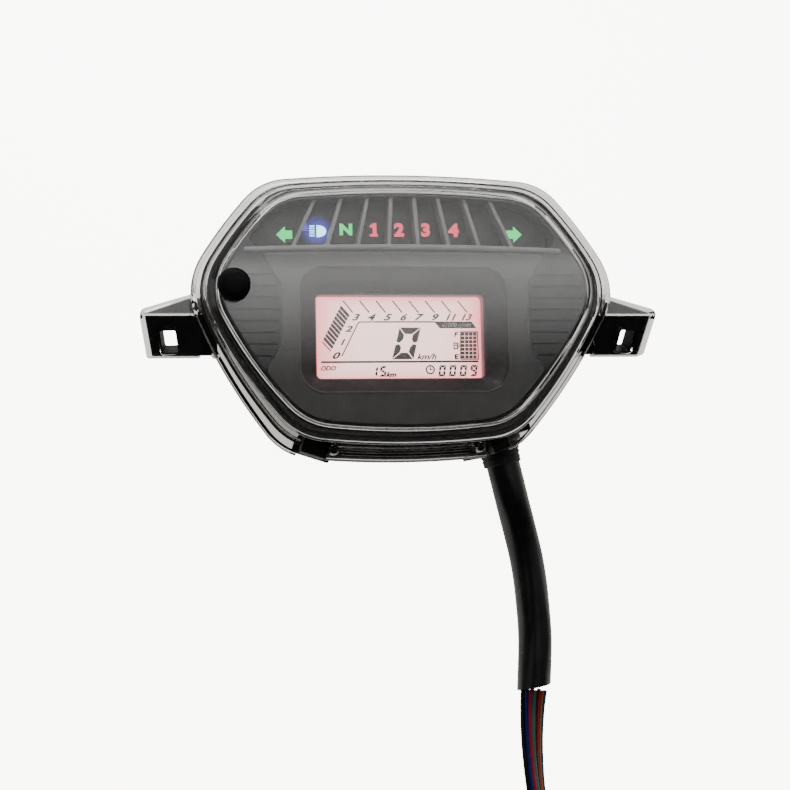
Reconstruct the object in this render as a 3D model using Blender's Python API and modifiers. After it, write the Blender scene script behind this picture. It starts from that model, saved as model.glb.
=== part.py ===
"""Motorcycle instrument cluster: a digital dial in a tub-shaped housing under a clear lens with two ears.

The cluster lies on its back. X runs to the rider's right across the dial, Y up the dial, Z out of its
face. The flat of the housing's back is at Z = 0. Sizes are in millimetres, and MM turns them into metres.
"""

import math

import bmesh
import bpy
from mathutils import Matrix, Vector

MM = 0.001
GAP = 0.3

# Outlines: half-widths and heights of the three corners, how far each corner is rounded, and how far
# the top, upper side, lower side and bottom edges bow outwards.
RIM_CORNERS = [(61.0, 58.4, 10.0), (94.6, 12.0, 15.0), (51.0, -58.4, 12.0)]
WINDOW_CORNERS = [(54.5, 50.7, 9.0), (83.4, 11.0, 13.0), (43.6, -46.3, 10.0)]
EDGE_BOWS = [3.1, 2.2, 3.6, 3.1]
EDGE_STEPS = 9
CORNER_STEPS = 5
LEDGE = 0.5

# Heights
WINDOW_Z = 58.0
LENS_WALL = 2.2
RIM_Z = 50.0
RIM_THICK = 3.2
RIM_BEND_Y = 8.0
RIM_SLOPE = math.tan(math.radians(18.0))
MASK_Z = 50.4
MASK_WALL = 2.2
FLANGE_SLOPE = 0.42
FLANGE_THICK = 1.5
BOARD_TOP_Z = 30.0
BOARD_THICK = 1.6
FILM_Z = 39.0
GLASS_TOP_Z = 38.8
FLOOR_THICK = 2.5
UPPER_EDGE_Z = 38.2
UPPER_EDGE_Y = 24.0

# Ears
EAR_TIP_X = 112.6
EAR_RIDGE_Y = 1.5
EAR_RIDGE_Z = 45.7
EAR_SLOPE_DEG = 33.0
EAR_BOTTOM_Y = -15.4
EAR_SKIN = 3.0
EAR_DEPTH = 8.0
BACKING_THICK = 3.6
SLOT_CENTRE = (99.8, -8.4)
SLOT_SIZE = (7.4, 11.2)
SLOT_SWEEP_DEG = 10.0
SLOT_SLANT_DEG = 8.0

# Notches in the lens's skirt and pads under its rim: x, y, width and turn of each.
NOTCH_TOP_Z = 42.5
SHELF_Z = 24.1
NOTCHES = {"left": (-38.8, -56.6, 13.0, -18.0), "right": (43.0, -55.4, 9.6, 24.0)}
APRON_SPAN = (-31.5, 37.0)
APRON_DEPTHS = (3.6, 5.6)
PADS = {"left": (-38.8, -56.6, 17.2, -18.0), "right": (33.4, -58.4, 9.4, 9.0)}

# Dial
RECESS_BOTTOM_Y = 31.0
RIB_WIDTH = 1.5
RIB_LINES = [(6.4, 5.1), (19.9, 15.4), (33.2, 26.8), (47.8, 38.0)]
DISPLAY_CENTRE = (-1.6, -8.4)
DISPLAY_OPENING = (73.3, 36.5)
BEZEL_CENTRE = (-0.5, -5.8)
BEZEL_SIZE = (89.7, 53.3)
BEZEL_CORNER = 10.8
BEZEL_BOTTOM_Z = 46.0
GROOVE_TOP_Y = 17.6
GROOVE_PITCH = 4.96
GROOVE_COUNT = 8
PANEL_EDGE_X = 54.0
LAMPS = {
    "turn_left_led": (-50.9, 37.0),
    "high_beam_led": (-37.2, 38.6),
    "neutral_led": (-24.6, 39.4),
    "gear_1_led": (-12.4, 39.5),
    "gear_2_led": (-0.4, 39.5),
    "gear_3_led": (11.6, 39.5),
    "gear_4_led": (24.2, 39.4),
    "turn_right_led": (51.0, 37.0),
}

# Button
BUTTON_XY = (-73.7, 12.0)
BUTTON_R = 7.0
BUTTON_TRAVEL = 1.0
STEM_R = 2.0

# Fasteners
BOARD_SCREWS = [(-50.0, 21.0), (50.0, 21.0), (-50.0, -28.0), (50.0, -28.0)]
HOUSING_SCREWS = [(-61.0, -9.0), (61.0, -9.0), (-62.0, 22.5), (62.0, 22.5)]

# Harness: the sleeve's middle line from the grommet, and the wires' from the sleeve to the connector.
EXIT = (46.1, -50.0, 13.0)
EXIT_TURN_DEG = 12.0
SLEEVE_R = 7.5
SLEEVE_ROUTE = [
    (48.7, -61.5, 13.0),
    (52.6, -77.0, 12.4),
    (56.6, -91.0, 9.6),
    (59.9, -106.0, 7.9),
    (61.8, -122.0, 7.7),
    (62.8, -140.0, 7.7),
    (61.7, -162.0, 7.7),
]
WIRES_R = 5.2
WIRES_ROUTE = [
    (61.5, -163.1, 7.0),
    (60.6, -172.0, 6.0),
    (60.0, -186.0, 5.4),
    (60.6, -202.0, 5.4),
    (62.2, -218.0, 5.6),
    (63.6, -233.0, 6.6),
    (64.2, -242.0, 7.4),
]
CONNECTOR_SIZE = (26.0, 22.0, 14.6)
CONNECTOR_TURN_DEG = 4.0

MATERIALS = {
    "black_plastic": ((0.012, 0.013, 0.016), 0.45, 0.0),
    "clear_plastic": ((0.78, 0.80, 0.80), 0.06, 0.0),
    "dial_grey": ((0.09, 0.095, 0.098), 0.6, 0.0),
    "rubber": ((0.01, 0.01, 0.011), 0.7, 0.0),
    "film": ((0.08, 0.085, 0.095), 0.4, 0.0),
    "white_plastic": ((0.75, 0.75, 0.73), 0.5, 0.0),
    "display": ((0.78, 0.58, 0.6), 0.15, 0.0),
    "circuit_green": ((0.03, 0.16, 0.07), 0.4, 0.0),
    "chip_black": ((0.02, 0.02, 0.022), 0.5, 0.0),
    "led": ((0.85, 0.83, 0.7), 0.3, 0.0),
    "steel": ((0.6, 0.6, 0.62), 0.3, 1.0),
    "sleeve": ((0.012, 0.012, 0.013), 0.35, 0.0),
    "wire": ((0.1, 0.2, 0.3), 0.45, 0.0),
}


# ---------------------------------------------------------------- scene and materials


def clear_scene():
    for item in list(bpy.data.objects):
        bpy.data.objects.remove(item, do_unlink=True)


def make_collection(name):
    collection = bpy.data.collections.new(name)
    bpy.context.scene.collection.children.link(collection)
    return collection


def make_material(name):
    colour, roughness, metallic = MATERIALS[name]
    material = bpy.data.materials.new(name)
    material.use_nodes = True
    shader = material.node_tree.nodes["Principled BSDF"]
    shader.inputs["Base Color"].default_value = (*colour, 1.0)
    shader.inputs["Roughness"].default_value = roughness
    shader.inputs["Metallic"].default_value = metallic
    return material


clear_scene()
PARTS = make_collection("instrument_cluster")
CUTTERS = make_collection("cutters")
FINISH = {name: make_material(name) for name in MATERIALS}


# ---------------------------------------------------------------- outlines


def bowed_edge(start, end, bow, steps):
    """Points from start to end on a shallow arc that stands out to the left of the way travelled."""
    a, b = Vector(start), Vector(end)
    side = Vector((a.y - b.y, b.x - a.x)).normalized()
    points = []
    for i in range(steps + 1):
        u = i / steps
        points.append(a.lerp(b, u) + side * bow * 4.0 * u * (1.0 - u))
    return points


def trim(points, length, from_end):
    """Shortens a run of points by length at one of its ends."""
    run = list(reversed(points)) if from_end else list(points)
    while (run[1] - run[0]).length < length:
        length -= (run[1] - run[0]).length
        run.pop(0)
    run[0] = run[0] + (run[1] - run[0]).normalized() * length
    return list(reversed(run)) if from_end else run


def rounded_corner(before, after, corner):
    """Points of a smooth bend from the end of one edge to the start of the next, without its ends."""
    points = []
    for i in range(1, CORNER_STEPS):
        u = i / CORNER_STEPS
        points.append(before.lerp(corner, u).lerp(corner.lerp(after, u), u))
    return points


def outline(share=0.0, inset=0.0):
    """The closed outline between the rim's, share 0, and the window's, share 1, moved inwards by inset.

    It starts at the middle of the top and runs clockwise as seen from the front.
    """
    corners = []
    for rim, window in zip(RIM_CORNERS, WINDOW_CORNERS):
        corners.append([r + (w - r) * share for r, w in zip(rim, window)])
    top_y = corners[0][1] + EDGE_BOWS[0]
    bottom_y = corners[2][1] - EDGE_BOWS[3]
    spots = [Vector((x, y)) for x, y, _ in corners]
    mirrored = [Vector((-p.x, p.y)) for p in spots]
    top = bowed_edge(mirrored[0], spots[0], EDGE_BOWS[0], EDGE_STEPS * 2)[EDGE_STEPS:]
    upper = bowed_edge(spots[0], spots[1], EDGE_BOWS[1], EDGE_STEPS)
    lower = bowed_edge(spots[1], spots[2], EDGE_BOWS[2], EDGE_STEPS)
    bottom = bowed_edge(spots[2], mirrored[2], EDGE_BOWS[3], EDGE_STEPS * 2)[: EDGE_STEPS + 1]
    top[0].y = top_y
    bottom[-1].y = bottom_y
    cuts = [c[2] for c in corners]
    top = trim(top, cuts[0], True)
    upper = trim(trim(upper, cuts[0], False), cuts[1], True)
    lower = trim(trim(lower, cuts[1], False), cuts[2], True)
    bottom = trim(bottom, cuts[2], False)
    half = top + rounded_corner(top[-1], upper[0], spots[0])
    half += upper + rounded_corner(upper[-1], lower[0], spots[1])
    half += lower + rounded_corner(lower[-1], bottom[0], spots[2])
    half += bottom
    other = [Vector((-p.x, p.y)) for p in reversed(half[1:-1])]
    return move_inwards(half + other, inset)


def move_inwards(points, inset):
    """Each point of a closed clockwise outline moved to its right by inset."""
    if not inset:
        return points
    moved = []
    count = len(points)
    for i, p in enumerate(points):
        along = (points[(i + 1) % count] - points[i - 1]).normalized()
        moved.append(p + Vector((along.y, -along.x)) * inset)
    return moved


def rounded_box(centre, size, radius, steps=4):
    """A clockwise rounded rectangle."""
    points = []
    for turn in range(4):
        sx = (1, 1, -1, -1)[turn]
        sy = (1, -1, -1, 1)[turn]
        middle = Vector((centre[0] + sx * (size[0] / 2 - radius), centre[1] + sy * (size[1] / 2 - radius)))
        for i in range(steps + 1):
            angle = math.radians(90.0 - 90.0 * (turn + i / steps))
            points.append(middle + Vector((math.cos(angle), math.sin(angle))) * radius)
    return points


def rim_z(y):
    """Height of the lens's rim: level over the upper part, falling away below the bend."""
    return RIM_Z - max(0.0, RIM_BEND_Y - y) * RIM_SLOPE


def ear_z(y):
    """Height of an ear's front: a ridge with a face falling away on each side of it."""
    return EAR_RIDGE_Z - abs(y - EAR_RIDGE_Y) * math.tan(math.radians(EAR_SLOPE_DEG))


def ring(points, height):
    """Points of an outline at a height, which is a number or a function of y."""
    return [Vector((p.x, p.y, height(p.y) if callable(height) else height)) for p in points]


# ---------------------------------------------------------------- solids


def finish_mesh(name, bm, collection, material, smooth=True):
    bmesh.ops.recalc_face_normals(bm, faces=bm.faces)
    mesh = bpy.data.meshes.new(name)
    bm.to_mesh(mesh)
    bm.free()
    mesh.transform(Matrix.Scale(MM, 4))
    if smooth:
        mesh.shade_smooth()
        mesh.set_sharp_from_angle(angle=math.radians(35.0))
    item = bpy.data.objects.new(name, mesh)
    collection.objects.link(item)
    if material:
        mesh.materials.append(FINISH[material])
    return item


def as_cutter(item):
    item.hide_render = True
    item.display_type = "WIRE"
    return item


def loft(name, rings, material=None, closed=False):
    """A solid through rings with equal numbers of points: capped at both ends, or closed on itself."""
    bm = bmesh.new()
    rows = [[bm.verts.new(p) for p in points] for points in rings]
    pairs = list(zip(rows, rows[1:]))
    if closed:
        pairs.append((rows[-1], rows[0]))
    else:
        bm.faces.new(rows[0])
        bm.faces.new(rows[-1])
    for low, high in pairs:
        count = len(low)
        for i in range(count):
            bm.faces.new((low[i], low[(i + 1) % count], high[(i + 1) % count], high[i]))
    collection = PARTS if material else CUTTERS
    item = finish_mesh(name, bm, collection, material)
    return item if material else as_cutter(item)


def prism(name, points, low, high, material=None):
    return loft(name, [ring(points, low), ring(points, high)], material)


def box(name, low, high, material=None, turn=None, bevel=0.0, pivot=None):
    """A box between two corners, turned by a matrix about a pivot, or else about its own centre."""
    bm = bmesh.new()
    low, high = Vector(low), Vector(high)
    centre = (low + high) / 2
    size = high - low
    pivot = Vector(pivot) if pivot else centre
    place = Matrix.Translation(pivot) @ (turn.to_4x4() if turn else Matrix())
    place = place @ Matrix.Translation(centre - pivot) @ Matrix.Diagonal((*size, 1.0))
    bmesh.ops.create_cube(bm, size=1.0, matrix=place)
    if bevel:
        bmesh.ops.bevel(bm, geom=bm.edges[:], offset=bevel, segments=1, affect="EDGES")
    collection = PARTS if material else CUTTERS
    item = finish_mesh(name, bm, collection, material, smooth=False)
    return item if material else as_cutter(item)


def cylinder(name, base, radius, height, material=None, top_radius=None, turn=None, sides=20):
    """A cylinder or cone frustum standing on base, its axis along Z or along a turned Z."""
    bm = bmesh.new()
    place = Matrix.Translation(Vector(base)) @ (turn.to_4x4() if turn else Matrix())
    bmesh.ops.create_cone(
        bm,
        cap_ends=True,
        segments=sides,
        radius1=radius,
        radius2=radius if top_radius is None else top_radius,
        depth=height,
        matrix=place @ Matrix.Translation((0, 0, height / 2)),
    )
    collection = PARTS if material else CUTTERS
    item = finish_mesh(name, bm, collection, material)
    return item if material else as_cutter(item)


def combine(item, other, operation):
    """Adds a boolean with one other object and applies it."""
    modifier = item.modifiers.new(operation.lower(), "BOOLEAN")
    modifier.operation = operation
    modifier.solver = "EXACT"
    modifier.object = other
    graph = bpy.context.evaluated_depsgraph_get()
    mesh = bpy.data.meshes.new_from_object(item.evaluated_get(graph), depsgraph=graph)
    item.modifiers.clear()
    item.data = mesh


def cut(item, *cutters):
    for cutter in cutters:
        combine(item, cutter, "DIFFERENCE")


def join(item, *others):
    for other in others:
        combine(item, other, "UNION")


def turned_piece(name, profile, at, material, steps=20):
    """A turned solid: a profile of (radius, height) points from the axis out and back to the axis."""
    mesh = bpy.data.meshes.new(name)
    points = [(r * MM, 0.0, z * MM) for r, z in profile]
    edges = [(i, i + 1) for i in range(len(points) - 1)]
    mesh.from_pydata(points, edges, [])
    item = bpy.data.objects.new(name, mesh)
    PARTS.objects.link(item)
    item.location = Vector(at) * MM
    screw = item.modifiers.new("turn", "SCREW")
    screw.axis = "Z"
    screw.steps = steps
    screw.render_steps = steps
    screw.use_merge_vertices = True
    screw.merge_threshold = 0.00001
    screw.use_smooth_shade = True
    mesh.materials.append(FINISH[material])
    return item


def smooth_route(points, spacing):
    """Points about a spacing apart on a smooth curve through the given ones."""
    spots = [Vector(p) for p in points]
    ends = [spots[0] * 2 - spots[1]] + spots + [spots[-1] * 2 - spots[-2]]
    fine = []
    for p0, p1, p2, p3 in zip(ends, ends[1:], ends[2:], ends[3:]):
        for i in range(24):
            u = i / 24
            fine.append(
                0.5 * (2 * p1 + (p2 - p0) * u + (2 * p0 - 5 * p1 + 4 * p2 - p3) * u**2)
                + 0.5 * (3 * p1 - p0 - 3 * p2 + p3) * u**3
            )
    fine.append(spots[-1])
    total = sum((b - a).length for a, b in zip(fine, fine[1:]))
    pieces = max(2, round(total / spacing))
    route = [fine[0]]
    walked = 0.0
    for a, b in zip(fine, fine[1:]):
        walked += (b - a).length
        if walked >= total / pieces * len(route) and len(route) < pieces:
            route.append(b)
    return route + [fine[-1]]


def tube(name, route, radius, material, sides_level=2):
    curve = bpy.data.curves.new(name, "CURVE")
    curve.dimensions = "3D"
    curve.bevel_depth = radius * MM
    curve.bevel_resolution = sides_level
    curve.use_fill_caps = True
    spline = curve.splines.new("POLY")
    spline.points.add(len(route) - 1)
    for spot, place in zip(spline.points, route):
        spot.co = (*(place * MM), 1.0)
    curve.materials.append(FINISH[material])
    item = bpy.data.objects.new(name, curve)
    PARTS.objects.link(item)
    return item


# ---------------------------------------------------------------- lens and ears


def wedge(name, side, plan, lift, depth):
    """A bent plate that follows an ear's front, lift below it and depth thick, cut to a plan outline."""
    ys = [EAR_BOTTOM_Y - 4.0, EAR_RIDGE_Y, EAR_RIDGE_Y + 12.0]
    section = [(y, ear_z(y) - lift) for y in ys]
    section += [(y, ear_z(y) - lift - depth) for y in reversed(ys)]
    ends = sorted((side * 60.0, side * (EAR_TIP_X + 5.0)))
    rings = [[Vector((x, y, z)) for y, z in section] for x in ends]
    body = loft(name, rings)
    knife = prism(name + "_plan", [Vector((side * x, y)) for x, y in plan], 0.0, 70.0)
    combine(body, knife, "INTERSECT")
    return body


def ear_plan(margin, root_x):
    """An ear's outline seen from the front, drawn in by a margin, from its tip to root_x."""
    return [
        (root_x, 11.4 - margin),
        (92.0, 10.4 - margin),
        (EAR_TIP_X - 1.0 - margin, 3.9 - margin),
        (EAR_TIP_X - margin, EAR_RIDGE_Y),
        (109.5 - margin, EAR_BOTTOM_Y + margin * 0.4),
        (root_x, EAR_BOTTOM_Y + margin * 0.4),
    ]


def ear_slot(side):
    """The cutter of one ear's slot: square to the sloping face and swept towards the middle."""
    x, y = side * SLOT_CENTRE[0], SLOT_CENTRE[1]
    lean = Matrix.Rotation(math.radians(EAR_SLOPE_DEG), 3, "X")
    sweep = Matrix.Rotation(math.radians(side * SLOT_SWEEP_DEG), 3, "Y")
    slant = Matrix.Rotation(math.radians(-side * SLOT_SLANT_DEG), 3, "Z")
    half = Vector((SLOT_SIZE[0] / 2, SLOT_SIZE[1] / 2, 14.0))
    middle = Vector((x, y, ear_z(y) - 3.0))
    return box(f"slot_cutter_{side}", middle - half, middle + half, turn=lean @ sweep @ slant)


def root_wall(side):
    """The short wall that carries an ear down from the rim, following the rim's curve."""
    outer = [p for p in outline() if p.x * side > 0 and -16.5 < p.y < 10.8]
    inner = [p for p in outline(0.0, 2.2) if p.x * side > 0 and -16.5 < p.y < 10.8]
    plan = outer + list(reversed(inner))
    low = ring(plan, lambda y: ear_z(y) - 6.5)
    high = ring(plan, lambda y: rim_z(y) - 1.2)
    return loft(f"root_wall_{side}", [low, high])


def make_lens(ear_hollows):
    """The clear lens: a window plate, a ledge, a skirt that flares to the rim, and the two ears."""

    def below_rim(depth):
        return lambda y: rim_z(y) - depth

    window, ledge = 1.0, LEDGE
    rings = [
        ring(outline(window, 1.4), WINDOW_Z),
        ring(outline(window, 0.3), WINDOW_Z - 0.4),
        ring(outline(window, 0.0), WINDOW_Z - 1.6),
        ring(outline(window, -0.3), WINDOW_Z - 2.9),
        ring(outline(ledge, 0.9), 53.2),
        ring(outline(ledge, 0.0), 52.2),
        ring(outline(0.0, 2.2), below_rim(-0.9)),
        ring(outline(0.0, 0.4), below_rim(-0.1)),
        ring(outline(0.0, 0.0), below_rim(0.8)),
        ring(outline(0.0, 0.0), below_rim(2.4)),
        ring(outline(0.0, 0.5), below_rim(RIM_THICK)),
        ring(outline(0.0, 2.4), below_rim(RIM_THICK)),
        ring(outline(0.0, 3.0), below_rim(1.4)),
        ring(outline(ledge, 2.5), 50.2),
        ring(outline(window, 1.9), 52.9),
        ring(outline(window, 2.2), WINDOW_Z - LENS_WALL),
    ]
    lens = loft("clear_lens", rings, "clear_plastic")
    for side in (-1, 1):
        join(lens, root_wall(side))
        join(lens, wedge(f"ear_{side}", side, ear_plan(0.0, 86.5), 0.0, EAR_DEPTH))
    cut(lens, *ear_hollows)
    for side in (-1, 1):
        cut(lens, ear_slot(side))
    for name, spot in NOTCHES.items():
        cut(lens, edge_box(f"{name}_notch", spot, 0.0, 6.0, 6.0, 12.0, NOTCH_TOP_Z))
    hole = cylinder("button_hole", (*BUTTON_XY, WINDOW_Z - 6.0), STEM_R + 1.6, 10.0)
    cut(lens, hole)
    return lens


# ---------------------------------------------------------------- housing


def housing_edge(y):
    """Height of the tub's edge: under the rim, and lower at the top to leave room for the lamps' recess."""
    return min(rim_z(y) - 3.4, UPPER_EDGE_Z + max(0.0, UPPER_EDGE_Y - y) * 0.9)


def edge_box(name, spot, extra, out, back, low, high):
    """A box on the lens's lower edge: spot gives its x, y, width and turn.

    It reaches out beyond the spot and back towards the dial, and it is wider by extra.
    """
    x, y, width, turn_deg = spot
    turn = Matrix.Rotation(math.radians(turn_deg), 3, "Z")
    half = (width + extra) / 2
    return box(name, (x - half, y - out, low), (x + half, y + back, high), turn=turn, pivot=(x, y, 0.0))


def make_housing():
    """The tub: floor, wall, ear backings, hooks, board posts, screw towers and the cable outlet."""
    base = 0.9
    rings = [
        ring(outline(base, 4.6), 0.0),
        ring(outline(base, 3.0), 1.6),
        ring(outline(LEDGE, 4.6), housing_edge),
        ring(outline(LEDGE, 7.1), housing_edge),
        ring(outline(base, 5.6), FLOOR_THICK + 1.0),
        ring(outline(base, 7.0), FLOOR_THICK),
    ]
    housing = loft("rear_housing", rings, "black_plastic")
    turn = Matrix.Rotation(math.radians(EXIT_TURN_DEG), 3, "Z")
    outlet_low = Vector((EXIT[0] - 12.5, EXIT[1], 1.0))
    outlet_high = Vector((EXIT[0] + 12.5, EXIT[1] + 12.0, 25.0))
    join(housing, box("cable_outlet", outlet_low, outlet_high, turn=turn))
    for name, spot in NOTCHES.items():
        join(housing, edge_box(f"{name}_shelf", spot, -1.0, 2.3, 9.0, SHELF_Z, SHELF_Z + 3.4))
        join(housing, edge_box(f"{name}_block", spot, -1.3, 2.1, 4.4, SHELF_Z + 1.0, NOTCH_TOP_Z - 3.9))
    for name, spot in PADS.items():
        join(housing, edge_box(f"{name}_pad", spot, 0.0, 2.2, 9.6, SHELF_Z - 3.2, SHELF_Z + 0.6))
    for side in (-1, 1):
        join(housing, wedge(f"backing_{side}", side, ear_plan(2.3, 79.5), EAR_SKIN + GAP, BACKING_THICK))
    posts = []
    for i, (x, y) in enumerate(BOARD_SCREWS):
        posts.append(cylinder(f"board_post_{i}", (x, y, 1.5), 4.0, BOARD_TOP_Z - BOARD_THICK - GAP - 1.5))
    for i, (x, y) in enumerate(HOUSING_SCREWS):
        posts.append(cylinder(f"tower_{i}", (x, y, 1.5), 5.4, 24.5))
    join(housing, make_apron(), *posts)
    return housing


def make_apron():
    """The housing's edge under the middle of the lens's skirt."""

    def middle_part(points, below_y):
        return [p for p in points if APRON_SPAN[0] < p.x < APRON_SPAN[1] and p.y < below_y]

    plan = middle_part(outline(0.0, 0.3), -50.0) + middle_part(outline(LEDGE, 5.2), -40.0)[::-1]
    heights = (lambda y: rim_z(y) - APRON_DEPTHS[1], lambda y: rim_z(y) - APRON_DEPTHS[0])
    return loft("apron", [ring(plan, height) for height in heights])


def hollow_housing(housing):
    """Screw holes, the grommet's hole, the breather's pocket and the ears' slots."""
    for i, (x, y) in enumerate(BOARD_SCREWS):
        cut(housing, cylinder(f"post_hole_{i}", (x, y, 17.0), 1.6, 14.0, sides=12))
    for i, (x, y) in enumerate(HOUSING_SCREWS):
        cut(housing, cylinder(f"tower_head_{i}", (x, y, -1.0), 3.7, 19.0, sides=16))
        cut(housing, cylinder(f"tower_hole_{i}", (x, y, 17.0), 1.9, 12.0, sides=12))
    for side in (-1, 1):
        cut(housing, ear_slot(side))
    cut(housing, cylinder("grommet_hole", outlet_point(14.0), 8.6, 24.0, turn=outlet_turn(), sides=24))
    cut(housing, cylinder("breather_pocket", (0.0, 20.0, -1.0), 7.0, 2.0, sides=24))
    cut(housing, cylinder("breather_hole", (0.0, 20.0, -1.0), 2.0, 6.0, sides=12))


def outlet_turn():
    """Turns Z to the way the harness leaves the housing."""
    return Matrix.Rotation(math.radians(EXIT_TURN_DEG), 3, "Z") @ Matrix.Rotation(math.pi / 2, 3, "X")


def outlet_point(back):
    """A point on the harness's way out, back from the outlet's face by a distance."""
    way = outlet_turn() @ Vector((0, 0, 1))
    face_y = EXIT[1]
    face = Vector((EXIT[0], face_y, EXIT[2])) + Vector((way.x * 0.5, 0.0, 0.0))
    return face - way * back


# ---------------------------------------------------------------- dial


def recess_outline(inset, bar_inset):
    """The indicator recess: the window's upper part, closed by a bar that arches along its bottom."""
    bar_y = RECESS_BOTTOM_Y + bar_inset
    upper = [p for p in outline(1.0, 2.2 + inset) if p.y > bar_y + 3.5]
    right = [p for p in upper if p.x >= 0]
    left = [p for p in upper if p.x < 0]
    end = right[-1]
    bar = []
    for i in range(11):
        u = 1.0 - i / 5.0
        x = u * (end.x - 3.2)
        bar.append(Vector((x, bar_y - 1.5 * u * u)))
    corner = [Vector((end.x + 0.4, bar_y + 1.4))]
    other = [Vector((-end.x - 0.4, bar_y + 1.4))]
    return right + corner + bar + other + left


def rib(name, side, low_x, high_x):
    """One rib across the indicator recess, from the bar up to the recess's top edge."""
    low_y, high_y = RECESS_BOTTOM_Y - 1.5, 54.0
    reach = (high_y - 31.0) / 19.7
    top_x = low_x + (high_x - low_x) * reach
    half = RIB_WIDTH / 2
    plan = [
        Vector((side * (low_x - half), low_y)),
        Vector((side * (low_x + half), low_y)),
        Vector((side * (top_x + half), high_y)),
        Vector((side * (top_x - half), high_y)),
    ]
    return prism(name, plan, FILM_Z + 1.0, MASK_Z - 1.0)


def flange_z(y):
    """Height of the dial's outer flange, which lies under the lens's sloping band."""
    return RIM_Z - 1.1 - FLANGE_SLOPE * (RIM_Z - rim_z(y))


def make_mask():
    """The dial's face: a plate with a skirt, the recess with its ribs, the bezel and the side panels."""

    def above_edge(y):
        return housing_edge(y) + GAP

    rings = [
        ring(outline(1.0, 1.6), MASK_Z),
        ring(outline(1.0, 0.6), MASK_Z - 0.2),
        ring(outline(LEDGE, 3.4), 48.6),
        ring(outline(LEDGE, 3.2), flange_z),
        ring(outline(LEDGE, 0.8), flange_z),
        ring(outline(LEDGE, 0.5), lambda y: flange_z(y) - 0.4),
        ring(outline(LEDGE, 0.5), lambda y: flange_z(y) - FLANGE_THICK),
        ring(outline(LEDGE, 4.4), lambda y: flange_z(y) - FLANGE_THICK),
        ring(outline(LEDGE, 4.6), above_edge),
        ring(outline(LEDGE, 6.6), above_edge),
        ring(outline(1.0, 3.0), MASK_Z - MASK_WALL - 0.4),
        ring(outline(1.0, 4.0), MASK_Z - MASK_WALL),
    ]
    mask = loft("dial_mask", rings, "dial_grey")
    join(mask, prism("recess_wall", recess_outline(-1.2, -1.2), FILM_Z + 0.9, MASK_Z - 0.6))
    funnel = [
        ring(rounded_box(BEZEL_CENTRE, BEZEL_SIZE, BEZEL_CORNER), MASK_Z - 0.7),
        ring(rounded_box(DISPLAY_CENTRE, grown(DISPLAY_OPENING, 3.2), 4.0), BEZEL_BOTTOM_Z - 2.0),
        ring(rounded_box(DISPLAY_CENTRE, grown(DISPLAY_OPENING, 3.2), 4.0), GLASS_TOP_Z + GAP),
    ]
    join(mask, loft("funnel_wall", funnel))
    cut(mask, prism("recess_cut", recess_outline(0.0, 0.0), FILM_Z - 2.0, MASK_Z + 3.0))
    for i, (low_x, high_x) in enumerate(RIB_LINES):
        for side in (-1, 1):
            join(mask, rib(f"rib_{i}_{side}", side, low_x, high_x))
    slope = [
        ring(rounded_box(BEZEL_CENTRE, grown(BEZEL_SIZE, 0.6), BEZEL_CORNER), MASK_Z + 1.0),
        ring(rounded_box(BEZEL_CENTRE, grown(BEZEL_SIZE, -2.4), BEZEL_CORNER - 1.0), MASK_Z - 1.0),
        ring(rounded_box(DISPLAY_CENTRE, DISPLAY_OPENING, 2.2), BEZEL_BOTTOM_Z),
        ring(rounded_box(DISPLAY_CENTRE, DISPLAY_OPENING, 2.2), GLASS_TOP_Z - 3.0),
    ]
    cut(mask, loft("display_cut", slope))
    for side in (-1, 1):
        cut(mask, side_grooves(side))
    for i, (x, y) in enumerate(HOUSING_SCREWS):
        join(mask, cylinder(f"mask_post_{i}", (x, y, 26.3), 3.6, 22.9, sides=16))
        cut(mask, cylinder(f"mask_post_hole_{i}", (x, y, 25.0), 1.5, 13.0, sides=12))
    cut(mask, cylinder("stem_hole", (*BUTTON_XY, MASK_Z - 6.0), STEM_R + 0.6, 12.0))
    return mask


def grown(size, amount):
    return (size[0] + amount, size[1] + amount)


def side_grooves(side):
    """The fine level grooves of one side panel, as one cutter."""
    bm = bmesh.new()
    rim = outline(1.0, 4.0)
    for i in range(GROOVE_COUNT):
        y = GROOVE_TOP_Y - i * GROOVE_PITCH
        near = [p.x for p in rim if p.x > 0 and abs(p.y - y) < 5.0]
        far_x = min(near) if near else 70.0
        if side < 0 and abs(y - BUTTON_XY[1]) < 4.5:
            far_x = min(far_x, -BUTTON_XY[0] - 5.0)
        size = Vector((far_x - PANEL_EDGE_X - 0.6, 0.7, 1.2))
        centre = Vector((side * (far_x + PANEL_EDGE_X + 0.6) / 2, y, MASK_Z))
        place = Matrix.Translation(centre) @ Matrix.Diagonal((*size, 1.0))
        bmesh.ops.create_cube(bm, size=1.0, matrix=place)
    return as_cutter(finish_mesh(f"grooves_{side}", bm, CUTTERS, None, smooth=False))


def make_indicator_stack():
    """The printed film under the recess and the light box that keeps each lamp's light apart."""
    film = prism("indicator_film", recess_outline(0.9, -0.9), FILM_Z + 0.1, FILM_Z + 0.6, "film")
    walls = prism("light_box", recess_outline(2.6, -0.4), BOARD_TOP_Z + GAP, FILM_Z - GAP, "white_plastic")
    for i, (x, y) in enumerate(lamp_cells()):
        wide = 9.2 if abs(x) < 45.0 else 13.0
        low = (x - wide / 2, RECESS_BOTTOM_Y + 1.2, BOARD_TOP_Z - 2.0)
        high = (x + wide / 2, 45.0, FILM_Z + 2.0)
        cut(walls, box(f"lamp_cell_{i}", low, high))
    return film, walls


def lamp_cells():
    cells = [(x, y) for x, y in LAMPS.values()]
    return cells + [(37.2, 38.6)]


# ---------------------------------------------------------------- display and board


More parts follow.
